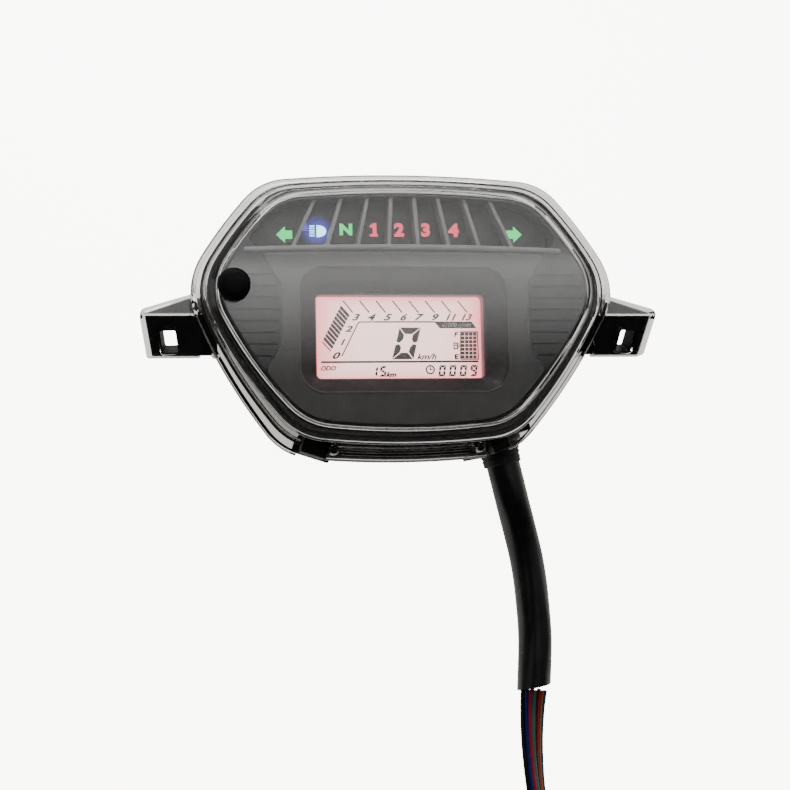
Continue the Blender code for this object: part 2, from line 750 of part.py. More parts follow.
def make_display():
    """The glass in its holder, with the diffuser, reflector and conductive strips under it."""
    x, y = DISPLAY_CENTRE
    glass = prism("lcd_glass", rounded_box((x, y), (78.0, 41.0), 0.8, 1), 36.2, GLASS_TOP_Z, "display")
    holder = prism("lcd_holder", rounded_box((x, y), (84.0, 47.0), 2.0, 2), 30.3, 38.6, "white_plastic")
    cut(holder, prism("holder_cut", rounded_box((x, y), (78.8, 41.8), 1.0, 1), 28.0, 42.0))
    prism("backlight_diffuser", rounded_box((x, y), (76.0, 34.0), 1.0, 1), 33.6, 35.9, "white_plastic")
    reflector = prism(
        "backlight_reflector", rounded_box((x, y), (76.0, 34.0), 1.0, 1), 32.3, 33.3, "white_plastic"
    )
    for i in range(4):
        led_x = x - 27.0 + 18.0 * i
        window = box(f"light_window_{i}", (led_x - 2.4, y - 2.0, 31.0), (led_x + 2.4, y + 2.0, 35.0))
        cut(reflector, window)
        low = (led_x - 1.75, y - 1.4, 30.3)
        box(f"backlight_led_{i + 1}", low, (led_x + 1.75, y + 1.4, 32.0), "led", bevel=0.2)
    for name, offset in (("zebra_strip_upper", 18.8), ("zebra_strip_lower", -18.8)):
        low = (x - 36.0, y + offset - 1.1, 30.3)
        box(name, low, (x + 36.0, y + offset + 1.1, 35.9), "rubber", bevel=0.25)
    return glass, holder


def make_board():
    """The circuit board and what is soldered to it."""
    under = BOARD_TOP_Z - BOARD_THICK
    board = prism("circuit_board", outline(1.0, 4.3), under, BOARD_TOP_Z, "circuit_green")
    for i, (x, y) in enumerate(BOARD_SCREWS):
        cut(board, cylinder(f"board_hole_{i}", (x, y, under - 2.0), 1.7, 6.0, sides=12))
    for i, (x, y) in enumerate(HOUSING_SCREWS):
        cut(board, cylinder(f"board_gap_{i}", (x, y, under - 2.0), 4.4, 6.0, sides=16))
    for name, (x, y) in LAMPS.items():
        box(name, (x - 1.75, y - 1.4, 30.3), (x + 1.75, y + 1.4, 32.2), "led", bevel=0.2)
    top = under - GAP
    box("microcontroller", (-22.0, -6.0, top - 1.6), (-8.0, 8.0, top), "chip_black", bevel=0.3)
    box("display_driver", (4.0, -14.0, top - 1.6), (16.0, -2.0, top), "chip_black", bevel=0.3)
    box("voltage_regulator", (28.0, -18.0, top - 2.4), (34.6, -11.8, top), "chip_black", bevel=0.3)
    crystal = rounded_box((-15.0, -12.5), (11.0, 4.6), 2.2, 3)
    prism("crystal", crystal, top - 3.4, top, "steel")
    for i, (x, y) in enumerate([(30.0, 2.0), (42.0, 4.0)]):
        profile = [(0.0, top), (3.9, top), (4.0, top - 0.6), (4.0, top - 9.6), (3.6, top - 10.0)]
        profile += [(0.0, top - 10.0)]
        turned_piece(f"electrolytic_capacitor_{i + 1}", profile, (x, y, 0.0), "chip_black", 16)
    header = box("harness_header", (8.0, -37.0, top - 8.4), (34.0, -28.0, top), "white_plastic", bevel=0.4)
    cut(header, box("header_mouth", (9.6, -35.4, top - 10.0), (32.4, -29.6, top - 2.0)))
    box("harness_plug", (10.0, -35.0, top - 14.0), (32.0, -30.0, top - 2.6), "white_plastic", bevel=0.4)


# ---------------------------------------------------------------- button and fasteners


def make_button():
    """The reset button's cap, its stem, the return spring and the switch it works on the board."""
    at = (*BUTTON_XY, 0.0)
    low = WINDOW_Z + BUTTON_TRAVEL + GAP
    cap = [(0.0, low + 3.4), (2.6, low + 3.2), (4.8, low + 2.6), (6.3, low + 1.7), (BUTTON_R, low + 0.7)]
    cap += [(BUTTON_R - 0.2, low), (2.6, low), (2.4, low + 1.5), (0.0, low + 1.5)]
    turned_piece("reset_button_cap", cap, at, "rubber", 28)
    collar = MASK_Z + 4.4
    foot = 36.6
    stem = [(0.0, low + 1.2), (STEM_R, low + 1.2), (STEM_R, collar + 0.9), (3.3, collar + 0.9)]
    stem += [(3.3, collar), (STEM_R, collar), (STEM_R, foot), (0.0, foot)]
    turned_piece("reset_button_stem", stem, at, "white_plastic", 16)
    turns, per_turn = 3, 10
    helix = []
    for i in range(turns * per_turn + 1):
        angle = 2 * math.pi * i / per_turn
        height = MASK_Z + 0.65 + (collar - MASK_Z - 1.3) * i / (turns * per_turn)
        spot = Vector((math.cos(angle), math.sin(angle), 0.0)) * 2.75
        helix.append(spot + Vector((*BUTTON_XY, height)))
    tube("button_spring", helix, 0.25, "steel", 1)
    x, y = BUTTON_XY
    body = box("tact_switch_body", (x - 2.6, y - 2.6, 30.3), (x + 2.6, y + 2.6, 33.8), "chip_black", bevel=0.3)
    cut(body, cylinder("plunger_well", (x, y, 31.8), 2.0, 4.0, sides=16))
    plunger = [(0.0, foot - GAP), (1.5, foot - GAP), (1.7, foot - GAP - 0.2), (1.7, 33.2), (0.0, 33.2)]
    turned_piece("tact_plunger", plunger, at, "chip_black", 14)


def pan_screw(name, x, y, seat, length, head_r, shank_r, up):
    """A pan-head screw, its head standing on the side away from its point. up is 1 or -1."""
    profile = [(0.0, seat + up * 2.0), (head_r * 0.7, seat + up * 1.9), (head_r, seat + up * 1.1)]
    profile += [(head_r, seat + up * 0.05), (shank_r, seat), (shank_r, seat - up * (length - 1.2))]
    profile += [(0.0, seat - up * length)]
    if up < 0:
        profile.reverse()
    turned_piece(name, profile, (x, y, 0.0), "steel", 14)


def make_fasteners():
    for i, (x, y) in enumerate(BOARD_SCREWS):
        pan_screw(f"board_screw_{i + 1}", x, y, BOARD_TOP_Z + GAP, 10.0, 2.7, 1.25, 1)
    for i, (x, y) in enumerate(HOUSING_SCREWS):
        pan_screw(f"housing_screw_{i + 1}", x, y, 18.0 - GAP, 14.0, 3.2, 1.2, -1)
    profile = [(0.0, 0.9), (6.0, 0.9), (6.6, 0.7), (6.6, 0.3), (0.0, 0.3)]
    turned_piece("breather_disc", profile, (0.0, 20.0, 0.0), "white_plastic", 20)


def make_seal():
    """The soft bead between the dial's shoulder and the lens's ledge."""
    rows = [
        ring(outline(LEDGE, 4.9), 50.7),
        ring(outline(LEDGE, 3.8), 49.6),
        ring(outline(LEDGE, 3.8), 50.4),
        ring(outline(LEDGE, 4.9), 51.2),
    ]
    return loft("perimeter_seal", rows, "rubber", closed=True)


# ---------------------------------------------------------------- harness


def make_harness():
    """The grommet, the sleeve, the wires beyond it and the connector with its lock."""
    way = outlet_turn()
    grommet = cylinder("cable_grommet", outlet_point(11.0), 8.2, 12.5, "rubber", turn=way, sides=24)
    flange = cylinder("grommet_flange", outlet_point(-GAP), 10.6, 2.6, turn=way, sides=24)
    neck = cylinder("grommet_neck", outlet_point(-1.0), 9.6, 10.0, top_radius=8.4, turn=way, sides=24)
    join(grommet, flange, neck)
    cut(grommet, cylinder("grommet_bore", outlet_point(20.0), 5.6, 29.0, turn=way, sides=16))
    tube("harness_sleeve", smooth_route(SLEEVE_ROUTE, 16.0), SLEEVE_R, "sleeve", 3)
    tube("wire_bundle", smooth_route(WIRES_ROUTE, 11.0), WIRES_R, "wire", 2)
    end = Vector(WIRES_ROUTE[-1])
    turn = Matrix.Rotation(math.radians(CONNECTOR_TURN_DEG), 3, "Z")
    wide, deep, high = CONNECTOR_SIZE
    middle = end + turn @ Vector((0.0, -deep / 2 - GAP - 0.8, 0.0))
    middle.z = high / 2
    half = Vector((wide, deep, high)) / 2
    body = box("harness_connector", middle - half, middle + half, "white_plastic", turn=turn, bevel=0.6)
    mouth = middle + turn @ Vector((0.0, -4.5, 0.0))
    reach = Vector((wide / 2 - 2.0, deep / 2, high / 2 - 2.4))
    cut(body, box("connector_mouth", mouth - reach, mouth + reach, turn=turn))
    latch = middle + Vector((0.0, 0.0, high / 2 + GAP + 0.9))
    arm = Vector((4.0, 7.5, 0.9))
    box("connector_lock", latch - arm, latch + arm, "white_plastic", turn=turn, bevel=0.3)


# ---------------------------------------------------------------- assembly


def main():
    hollows = []
    for side in (-1, 1):
        hollows.append(
            wedge(f"ear_hollow_{side}", side, ear_plan(2.0, 74.0), EAR_SKIN, BACKING_THICK + 20.0)
        )
    make_lens(hollows)
    housing = make_housing()
    hollow_housing(housing)
    make_seal()
    make_mask()
    make_indicator_stack()
    make_display()
    make_board()
    make_button()
    make_fasteners()
    make_harness()


main()
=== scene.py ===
import math

import bmesh
import bpy
from mathutils import Matrix, Vector


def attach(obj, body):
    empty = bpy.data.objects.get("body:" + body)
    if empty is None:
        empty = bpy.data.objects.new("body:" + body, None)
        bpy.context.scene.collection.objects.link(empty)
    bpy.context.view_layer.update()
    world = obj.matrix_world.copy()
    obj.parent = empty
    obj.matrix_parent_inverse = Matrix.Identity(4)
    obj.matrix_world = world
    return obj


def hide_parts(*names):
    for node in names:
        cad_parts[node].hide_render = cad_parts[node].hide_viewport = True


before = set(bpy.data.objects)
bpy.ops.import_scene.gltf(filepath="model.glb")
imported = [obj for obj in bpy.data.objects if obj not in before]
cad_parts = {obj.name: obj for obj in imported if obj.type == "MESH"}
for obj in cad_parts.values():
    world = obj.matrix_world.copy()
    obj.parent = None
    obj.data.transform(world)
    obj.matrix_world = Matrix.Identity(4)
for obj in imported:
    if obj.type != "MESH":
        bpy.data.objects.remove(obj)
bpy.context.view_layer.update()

MM = 0.001
ROOT = "housing"

# ------------------------------------------------------------------ camera and light


def aim(item, target, roll=0.0):
    """Points an object's -Z at a target, with the scene's +Y up in its view."""
    forward = (Vector(target) - item.location).normalized()
    right = forward.cross(Vector((0, 1, 0))).normalized()
    up = right.cross(forward)
    side = right * math.cos(roll) + up * math.sin(roll)
    top = up * math.cos(roll) - right * math.sin(roll)
    item.rotation_euler = Matrix((side, top, -forward)).transposed().to_euler()


CAMERA_PLACE = (-0.11843, -0.10038, 0.77476)
CAMERA_TARGET = (-0.00496, -0.0338, 0.048)
CAMERA_ROLL = -0.02097
CAMERA_LENS = 78.84
SENSOR_WIDTH = 36.0


def add_camera():
    data = bpy.data.cameras.new("camera")
    data.lens = CAMERA_LENS
    data.sensor_width = SENSOR_WIDTH
    data.clip_start = 0.01
    item = bpy.data.objects.new("camera", data)
    bpy.context.scene.collection.objects.link(item)
    item.location = CAMERA_PLACE
    aim(item, CAMERA_TARGET, CAMERA_ROLL)
    bpy.context.scene.camera = item


def add_softbox(name, place, target, size, power):
    data = bpy.data.lights.new(name, "AREA")
    data.shape = "RECTANGLE"
    data.size, data.size_y = size
    data.energy = power
    item = bpy.data.objects.new(name, data)
    bpy.context.scene.collection.objects.link(item)
    item.location = place
    aim(item, target)


add_camera()


# ------------------------------------------------------------------ small helpers


def link_mesh(name, bm, smooth=True, angle=35.0):
    """Makes an object from a bmesh that is in millimetres."""
    bmesh.ops.recalc_face_normals(bm, faces=bm.faces)
    mesh = bpy.data.meshes.new(name)
    bm.to_mesh(mesh)
    bm.free()
    mesh.transform(Matrix.Scale(MM, 4))
    if smooth:
        mesh.shade_smooth()
        mesh.set_sharp_from_angle(angle=math.radians(angle))
    item = bpy.data.objects.new(name, mesh)
    bpy.context.scene.collection.objects.link(item)
    return item


def dress(item, shader, slot, *nodes, body=ROOT):
    """Gives a piece its material and its body, and hides the CAD nodes it stands for. The slot is not used.
    """
    item.data.materials.clear()
    item.data.materials.append(shader)
    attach(item, body)
    if nodes:
        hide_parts(*nodes)
    return item


def loft(name, rings, closed=False, angle=35.0):
    """A skin through rings with equal numbers of points."""
    bm = bmesh.new()
    rows = [[bm.verts.new(p) for p in points] for points in rings]
    pairs = list(zip(rows, rows[1:]))
    if closed:
        pairs.append((rows[-1], rows[0]))
    else:
        bm.faces.new(rows[0])
        bm.faces.new(rows[-1])
    for low, high in pairs:
        count = len(low)
        for i in range(count):
            bm.faces.new((low[i], low[(i + 1) % count], high[(i + 1) % count], high[i]))
    return link_mesh(name, bm, angle=angle)


def ring(points, height):
    return [Vector((p.x, p.y, height(p.y) if callable(height) else height)) for p in points]


def prism(name, points, low, high):
    return loft(name, [ring(points, low), ring(points, high)])


def soft_prism(name, points, low, high, edge):
    """A plate with its upper edge rounded."""
    rings = [ring(points, low)]
    rings += [ring(move_inwards(points, edge * (1 - c)), high - edge * (1 - s)) for s, c in quarter(4)]
    return loft(name, rings)


def circle(steps):
    """The angles of a full turn."""
    return [2 * math.pi * i / steps for i in range(steps)]


def bead(name, steps, plan, z, high):
    """A closed cord of round section along an outline. plan gives the outline for each -1 to 1 across."""
    rows = [ring(plan(math.cos(a)), z + high * math.sin(a)) for a in circle(steps)]
    return loft(name, rows, closed=True, angle=60.0)


def quarter(steps):
    """Sines and cosines from 0 to 90 degrees."""
    out = []
    for i in range(steps + 1):
        a = math.pi / 2 * i / steps
        out.append((math.sin(a), math.cos(a)))
    return out


def box(name, low, high, turn=None, bevel=0.0, segments=2, pivot=None):
    bm = bmesh.new()
    low, high = Vector(low), Vector(high)
    centre = (low + high) / 2
    pivot = Vector(pivot) if pivot else centre
    place = Matrix.Translation(pivot) @ (turn.to_4x4() if turn else Matrix())
    place = place @ Matrix.Translation(centre - pivot) @ Matrix.Diagonal((*(high - low), 1.0))
    bmesh.ops.create_cube(bm, size=1.0, matrix=place)
    if bevel:
        bmesh.ops.bevel(bm, geom=bm.edges[:], offset=bevel, segments=segments, profile=0.5, affect="EDGES")
    return link_mesh(name, bm)


def cylinder(name, base, radius, height, top_radius=None, turn=None, sides=48):
    bm = bmesh.new()
    place = Matrix.Translation(Vector(base)) @ (turn.to_4x4() if turn else Matrix())
    bmesh.ops.create_cone(
        bm,
        cap_ends=True,
        segments=sides,
        radius1=radius,
        radius2=radius if top_radius is None else top_radius,
        depth=height,
        matrix=place @ Matrix.Translation((0, 0, height / 2)),
    )
    return link_mesh(name, bm)


def turned(name, profile, at, steps=64, turn=None, closed=False, angle=35.0):
    """A turned skin: (radius, height) points from the axis out and back to it, or a closed loop off it."""
    bm = bmesh.new()
    rows = []
    for r, z in profile:
        if r < 1e-6:
            rows.append([bm.verts.new((0, 0, z))])
        else:
            rows.append([bm.verts.new((r * math.cos(a), r * math.sin(a), z)) for a in circle(steps)])
    if closed:
        rows.append(rows[0])
    for a, b in zip(rows, rows[1:]):
        for i in range(steps):
            j = (i + 1) % steps
            corners = [a[i % len(a)], a[j % len(a)], b[j % len(b)], b[i % len(b)]]
            bm.faces.new(list(dict.fromkeys(corners)))
    place = Matrix.Translation(Vector(at)) @ (turn.to_4x4() if turn else Matrix())
    bmesh.ops.transform(bm, matrix=place, verts=bm.verts)
    return link_mesh(name, bm, angle=angle)


def combine(item, other, operation):
    modifier = item.modifiers.new(operation.lower(), "BOOLEAN")
    modifier.operation = operation
    modifier.solver = "EXACT"
    modifier.object = other
    graph = bpy.context.evaluated_depsgraph_get()
    mesh = bpy.data.meshes.new_from_object(item.evaluated_get(graph), depsgraph=graph)
    item.modifiers.clear()
    item.data = mesh
    bpy.data.objects.remove(other, do_unlink=True)


def cut(item, *others):
    for other in others:
        combine(item, other, "DIFFERENCE")


def join(item, *others):
    for other in others:
        combine(item, other, "UNION")


def resharpen(item, angle=32.0):
    item.data.shade_smooth()
    item.data.set_sharp_from_angle(angle=math.radians(angle))
    even = item.modifiers.new("even", "WEIGHTED_NORMAL")
    even.keep_sharp = True


def merged(name, items):
    """Several pieces as one object, without a boolean."""
    bm = bmesh.new()
    for item in items:
        bm.from_mesh(item.data)
        bpy.data.objects.remove(item, do_unlink=True)
    mesh = bpy.data.meshes.new(name)
    bm.to_mesh(mesh)
    bm.free()
    out = bpy.data.objects.new(name, mesh)
    bpy.context.scene.collection.objects.link(out)
    resharpen(out)
    return out


# ------------------------------------------------------------------ outlines, as in the CAD part

RIM_CORNERS = [(61.0, 58.4, 10.0), (94.6, 12.0, 15.0), (51.0, -58.4, 12.0)]
WINDOW_CORNERS = [(54.5, 50.7, 9.0), (83.4, 11.0, 13.0), (43.6, -46.3, 10.0)]
EDGE_BOWS = [3.1, 2.2, 3.6, 3.1]
EDGE_STEPS = 30
CORNER_STEPS = 14
LEDGE = 0.5


def bowed_edge(start, end, bow, steps):
    a, b = Vector(start), Vector(end)
    side = Vector((a.y - b.y, b.x - a.x)).normalized()
    out = []
    for i in range(steps + 1):
        u = i / steps
        out.append(a.lerp(b, u) + side * bow * 4.0 * u * (1.0 - u))
    return out


def trim(points, length, from_end):
    run = list(reversed(points)) if from_end else list(points)
    while (run[1] - run[0]).length < length:
        length -= (run[1] - run[0]).length
        run.pop(0)
    run[0] = run[0] + (run[1] - run[0]).normalized() * length
    return list(reversed(run)) if from_end else run


def evened(points, count):
    """The same run of points, count of them, evenly spaced."""
    lengths = [(b - a).length for a, b in zip(points, points[1:])]
    total = sum(lengths)
    out = [points[0]]
    k = 0
    walked = 0.0
    for i in range(1, count - 1):
        want = total * i / (count - 1)
        while walked + lengths[k] < want:
            walked += lengths[k]
            k += 1
        out.append(points[k].lerp(points[k + 1], (want - walked) / lengths[k]))
    return out + [points[-1]]


def rounded_corner(before, after, corner):
    out = []
    for i in range(1, CORNER_STEPS):
        u = i / CORNER_STEPS
        out.append(before.lerp(corner, u).lerp(corner.lerp(after, u), u))
    return out


def outline(share=0.0, inset=0.0):
    """The closed outline between the rim's, share 0, and the window's, share 1, moved inwards."""
    corners = []
    for rim, window in zip(RIM_CORNERS, WINDOW_CORNERS):
        corners.append([r + (w - r) * share for r, w in zip(rim, window)])
    spots = [Vector((x, y)) for x, y, _ in corners]
    mirrored = [Vector((-p.x, p.y)) for p in spots]
    top = bowed_edge(mirrored[0], spots[0], EDGE_BOWS[0], EDGE_STEPS * 2)[EDGE_STEPS:]
    upper = bowed_edge(spots[0], spots[1], EDGE_BOWS[1], EDGE_STEPS)
    lower = bowed_edge(spots[1], spots[2], EDGE_BOWS[2], EDGE_STEPS)
    bottom = bowed_edge(spots[2], mirrored[2], EDGE_BOWS[3], EDGE_STEPS * 2)[: EDGE_STEPS + 1]
    cuts = [c[2] for c in corners]
    top = trim(top, cuts[0], True)
    upper = trim(trim(upper, cuts[0], False), cuts[1], True)
    lower = trim(trim(lower, cuts[1], False), cuts[2], True)
    bottom = trim(bottom, cuts[2], False)
    top, bottom = evened(top, EDGE_STEPS), evened(bottom, EDGE_STEPS)
    upper, lower = evened(upper, EDGE_STEPS), evened(lower, EDGE_STEPS)
    half = top + rounded_corner(top[-1], upper[0], spots[0])
    half += upper + rounded_corner(upper[-1], lower[0], spots[1])
    half += lower + rounded_corner(lower[-1], bottom[0], spots[2])
    half += bottom
    other = [Vector((-p.x, p.y)) for p in reversed(half[1:-1])]
    return move_inwards(half + other, inset)


def move_inwards(points, inset):
    if not inset:
        return points
    moved = []
    count = len(points)
    for i, p in enumerate(points):
        along = (points[(i + 1) % count] - points[i - 1]).normalized()
        moved.append(p + Vector((along.y, -along.x)) * inset)
    return moved


def rounded_box(centre, size, radius, steps=10):
    out = []
    for turn in range(4):
        sx = (1, 1, -1, -1)[turn]
        sy = (1, -1, -1, 1)[turn]
        middle = Vector((centre[0] + sx * (size[0] / 2 - radius), centre[1] + sy * (size[1] / 2 - radius)))
        for i in range(steps + 1):
            a = math.radians(90.0 - 90.0 * (turn + i / steps))
            out.append(middle + Vector((math.cos(a), math.sin(a))) * radius)
    return out


RIM_Z = 50.0
RIM_BEND_Y = 8.0
RIM_SLOPE = math.tan(math.radians(18.0))
EAR_TIP_X = 112.6
EAR_RIDGE_Y = 1.5
EAR_RIDGE_Z = 45.7
EAR_SLOPE = math.tan(math.radians(33.0))
EAR_BOTTOM_Y = -15.4


def rim_z(y):
    """The rim is level over the upper part and falls away below a gentle bend."""
    soft = 3.0
    d = RIM_BEND_Y - y
    if d <= -soft:
        return RIM_Z
    if d >= soft:
        return RIM_Z - d * RIM_SLOPE
    return RIM_Z - (d + soft) ** 2 / (4 * soft) * RIM_SLOPE


def ear_z(y):
    return EAR_RIDGE_Z - abs(y - EAR_RIDGE_Y) * EAR_SLOPE


# ------------------------------------------------------------------ materials


class Shader:
    """A Principled material built from a few named steps."""

    def __init__(self, name, colour, roughness=0.5, metallic=0.0):
        self.material = bpy.data.materials.new(name)
        self.material.use_nodes = True
        self.tree = self.material.node_tree
        self.main = self.tree.nodes["Principled BSDF"]
        self.out = self.tree.nodes["Material Output"]
        self.colour = colour
        self.set("Base Color", (*colour, 1.0))
        self.set("Roughness", roughness)
        self.set("Metallic", metallic)
        self.height = None

    def set(self, socket, value):
        self.main.inputs[socket].default_value = value
        return self

    def node(self, kind, **values):
        made = self.tree.nodes.new(kind)
        for key, value in values.items():
            setattr(made, key, value)
        return made

    def link(self, a, b):
        self.tree.links.new(a, b)

    def place(self, scale=(1.0, 1.0, 1.0), turn=(0.0, 0.0, 0.0)):
        coords = self.node("ShaderNodeTexCoord")
        mapping = self.node("ShaderNodeMapping")
        mapping.inputs["Scale"].default_value = scale
        mapping.inputs["Rotation"].default_value = turn
        self.link(coords.outputs["Object"], mapping.inputs["Vector"])
        return mapping.outputs["Vector"]

    def noise(self, scale, detail=3.0, stretch=(1.0, 1.0, 1.0), rough=0.5):
        made = self.node("ShaderNodeTexNoise")
        made.inputs["Scale"].default_value = scale
        made.inputs["Detail"].default_value = detail
        made.inputs["Roughness"].default_value = rough
        self.link(self.place(stretch), made.inputs["Vector"])
        return made.outputs["Fac"]

    def xyz(self):
        """The three parts of the place on the object."""
        coords = self.node("ShaderNodeTexCoord")
        split = self.node("ShaderNodeSeparateXYZ")
        self.link(coords.outputs["Object"], split.inputs["Vector"])
        return split.outputs

    def maths(self, operation, first, second):
        made = self.node("ShaderNodeMath", operation=operation)
        for socket, value in zip(made.inputs, (first, second)):
            if isinstance(value, float):
                socket.default_value = value
            else:
                self.link(value, socket)
        return made.outputs[0]

    def spread(self, value, low, high, start=0.3, end=0.7):
        """A value between start and end turned into one between low and high."""
        made = self.node("ShaderNodeMapRange")
        made.inputs["From Min"].default_value = start
        made.inputs["From Max"].default_value = end
        made.inputs["To Min"].default_value = low
        made.inputs["To Max"].default_value = high
        self.link(value, made.inputs["Value"])
        return made.outputs["Result"]

    def mix(self, value, first, second, socket="Base Color"):
        """The colour goes from first to second with the value."""
        ramp = self.node("ShaderNodeValToRGB")
        ramp.color_ramp.elements[0].color = (*first, 1.0)
        ramp.color_ramp.elements[1].color = (*second, 1.0)
        self.link(value, ramp.inputs["Fac"])
        self.link(ramp.outputs["Color"], self.main.inputs[socket])
        return ramp

    def mottle(self, scale, amount=0.12, detail=4.0):
        """Slight unevenness of the colour."""
        low = tuple(c * (1 - amount) for c in self.colour)
        high = tuple(min(1.0, c * (1 + amount)) for c in self.colour)
        self.mix(self.spread(self.noise(scale, detail), 0.0, 1.0), low, high)
        return self

    def gloss(self, scale, low, high, detail=3.0, stretch=(1.0, 1.0, 1.0)):
        """Slight unevenness of the roughness."""
        value = self.spread(self.noise(scale, detail, stretch), low, high)
        self.link(value, self.main.inputs["Roughness"])
        return self

    def grain(self, scale, distance, strength=1.0, detail=2.0, stretch=(1.0, 1.0, 1.0)):
        """A fine moulded texture. The distance is in metres."""
        self.bump(self.noise(scale, detail, stretch), distance, strength)
        return self

    def bump(self, value, distance, strength=1.0):
        made = self.node("ShaderNodeBump")
        made.inputs["Strength"].default_value = strength
        made.inputs["Distance"].default_value = distance
        self.link(value, made.inputs["Height"])
        if self.height:
            self.link(self.height, made.inputs["Normal"])
        self.height = made.outputs["Normal"]
        self.link(self.height, self.main.inputs["Normal"])
        return self

    def glow(self, colour, strength):
        self.set("Emission Color", (*colour, 1.0))
        self.set("Emission Strength", strength)
        return self

    def clear(self, ior=1.49, tint=(1.0, 1.0, 1.0)):
        """Clear plastic that lets lamps shine through."""
        self.set("Transmission Weight", 1.0)
        self.set("IOR", ior)
        rays = self.node("ShaderNodeLightPath")
        gap = self.node("ShaderNodeBsdfTransparent")
        gap.inputs["Color"].default_value = (*tint, 1.0)
        both = self.node("ShaderNodeMixShader")
        self.link(rays.outputs["Is Shadow Ray"], both.inputs["Fac"])
        self.link(self.main.outputs["BSDF"], both.inputs[1])
        self.link(gap.outputs["BSDF"], both.inputs[2])
        self.link(both.outputs["Shader"], self.out.inputs["Surface"])
        return self


def moulded(name, colour, roughness=0.5, grain=0.00002, scale=2600.0, amount=0.1, specular=0.5):
    """Plastic or rubber with a slightly uneven colour, an uneven gloss and a fine grain."""
    made = Shader(name, colour, roughness).set("Specular IOR Level", specular)
    made.mottle(90.0, amount)
    made.gloss(400.0, roughness * 0.85, min(1.0, roughness * 1.15))
    return made.grain(scale, grain, 0.8).material


def lens_shader():
    made = Shader("clear_polycarbonate", (0.95, 0.94, 0.92), 0.02)
    # The clear plastic's tint goes dark towards grazing angles: painted shade along the lens's steep edges.
    edge_on = made.node("ShaderNodeLayerWeight").outputs["Facing"]
    made.mix(edge_on, (0.95, 0.94, 0.92), (0.06, 0.06, 0.062)).color_ramp.elements[0].position = 0.34
    made.gloss(55.0, 0.0, 0.035, 4.0)
    made.grain(34.0, 0.00004, 0.25, 1.0)
    return made.clear(1.5, (0.97, 0.97, 0.965)).material


def sleeve_shader():
    made = Shader("vinyl_sleeve", (0.004, 0.004, 0.0045), 0.3)
    made.mottle(120.0, 0.25)
    made.gloss(160.0, 0.28, 0.42, 3.0)
    made.grain(60.0, 0.00025, 0.35, 2.0)
    return made.grain(1400.0, 0.00002, 0.4, 2.0).material


def board_shader():
    """Green solder mask with lighter tracks under it."""
    made = Shader("solder_mask", (0.012, 0.10, 0.035), 0.3)
    bricks = made.node("ShaderNodeTexBrick")
    bricks.inputs["Scale"].default_value = 260.0
    bricks.inputs["Mortar Size"].default_value = 0.03
    bricks.inputs["Color1"].default_value = (0.012, 0.10, 0.035, 1.0)
    bricks.inputs["Color2"].default_value = (0.010, 0.085, 0.03, 1.0)
    bricks.inputs["Mortar"].default_value = (0.03, 0.19, 0.06, 1.0)
    made.link(made.place(), bricks.inputs["Vector"])
    made.link(bricks.outputs["Color"], made.main.inputs["Base Color"])
    return made.bump(bricks.outputs["Fac"], 0.00004, 0.5).material


def metal_shader(name, colour, roughness):
    made = Shader(name, colour, roughness, 1.0)
    made.mottle(300.0, 0.15)
    made.gloss(700.0, roughness * 0.7, roughness * 1.5)
    return made.grain(1800.0, 0.00001, 0.6).material


def display_shader(centre, half):
    """The lit glass: pale pink in the middle, deeper pink towards its sides."""
    made = Shader("display_lit", (0.30, 0.24, 0.25), 0.35)
    parts = []
    for axis, middle, reach, power in (("X", centre[0], half[0], 4.0), ("Y", centre[1], half[1], 6.0)):
        away = made.maths("ABSOLUTE", made.maths("SUBTRACT", made.xyz()[axis], middle), 0.0)
        parts.append(made.maths("POWER", made.maths("DIVIDE", away, reach), power))
    total = made.maths("MAXIMUM", *parts)
    ramp = made.mix(total, DISPLAY_MIDDLE, DISPLAY_SIDE, "Emission Color")
    ramp.color_ramp.elements[0].position = 0.05
    made.set("Emission Strength", DISPLAY_POWER)
    return made.grain(3000.0, 0.00001, 0.4).material


def surround_shader(low, high):
    """The pink light that climbs the display's walls and dies away with height."""
    made = Shader("display_wall", (0.09, 0.07, 0.075), 0.5)
    share = made.spread(made.xyz()["Z"], 0.0, 1.0, low, high)
    made.mix(share, WALL_LOW, WALL_HIGH, "Emission Color")
    made.set("Emission Strength", WALL_POWER)
    return made.grain(2600.0, 0.00002, 0.6).material


DISPLAY_MIDDLE = (1.0, 0.66, 0.62)
DISPLAY_SIDE = (0.95, 0.16, 0.20)
DISPLAY_POWER = 2.6
WALL_LOW = (0.62, 0.20, 0.25)
WALL_HIGH = (0.02, 0.012, 0.014)
WALL_POWER = 0.5

LENS = lens_shader()
# Opaque light grey for ridges of the clear lens: painted highlight.
RIDGE = moulded("skirt_ridge_painted_highlight", (0.55, 0.54, 0.52), 0.25, 0.00001, 1500.0, 0.5)
BLACK = moulded("black_housing", (0.0022, 0.0023, 0.0030), 0.5, 0.00003, 1500.0, specular=0.16)
DIAL = moulded("dial_plate", (0.012, 0.0125, 0.014), 0.5, 0.0000015, 2600.0, 0.05)
FRAME = moulded("dial_frame", (0.013, 0.0135, 0.015), 0.42, 0.0000015, 2600.0, 0.05, specular=0.9)
# A light grey on parts of the dark dial moulding: painted highlight on its ribs and on the recess's edge.
DIAL_HIGHLIGHT = moulded("dial_edge_painted_highlight", (0.19, 0.193, 0.20), 0.5, 0.000003, 2600.0, 0.05)
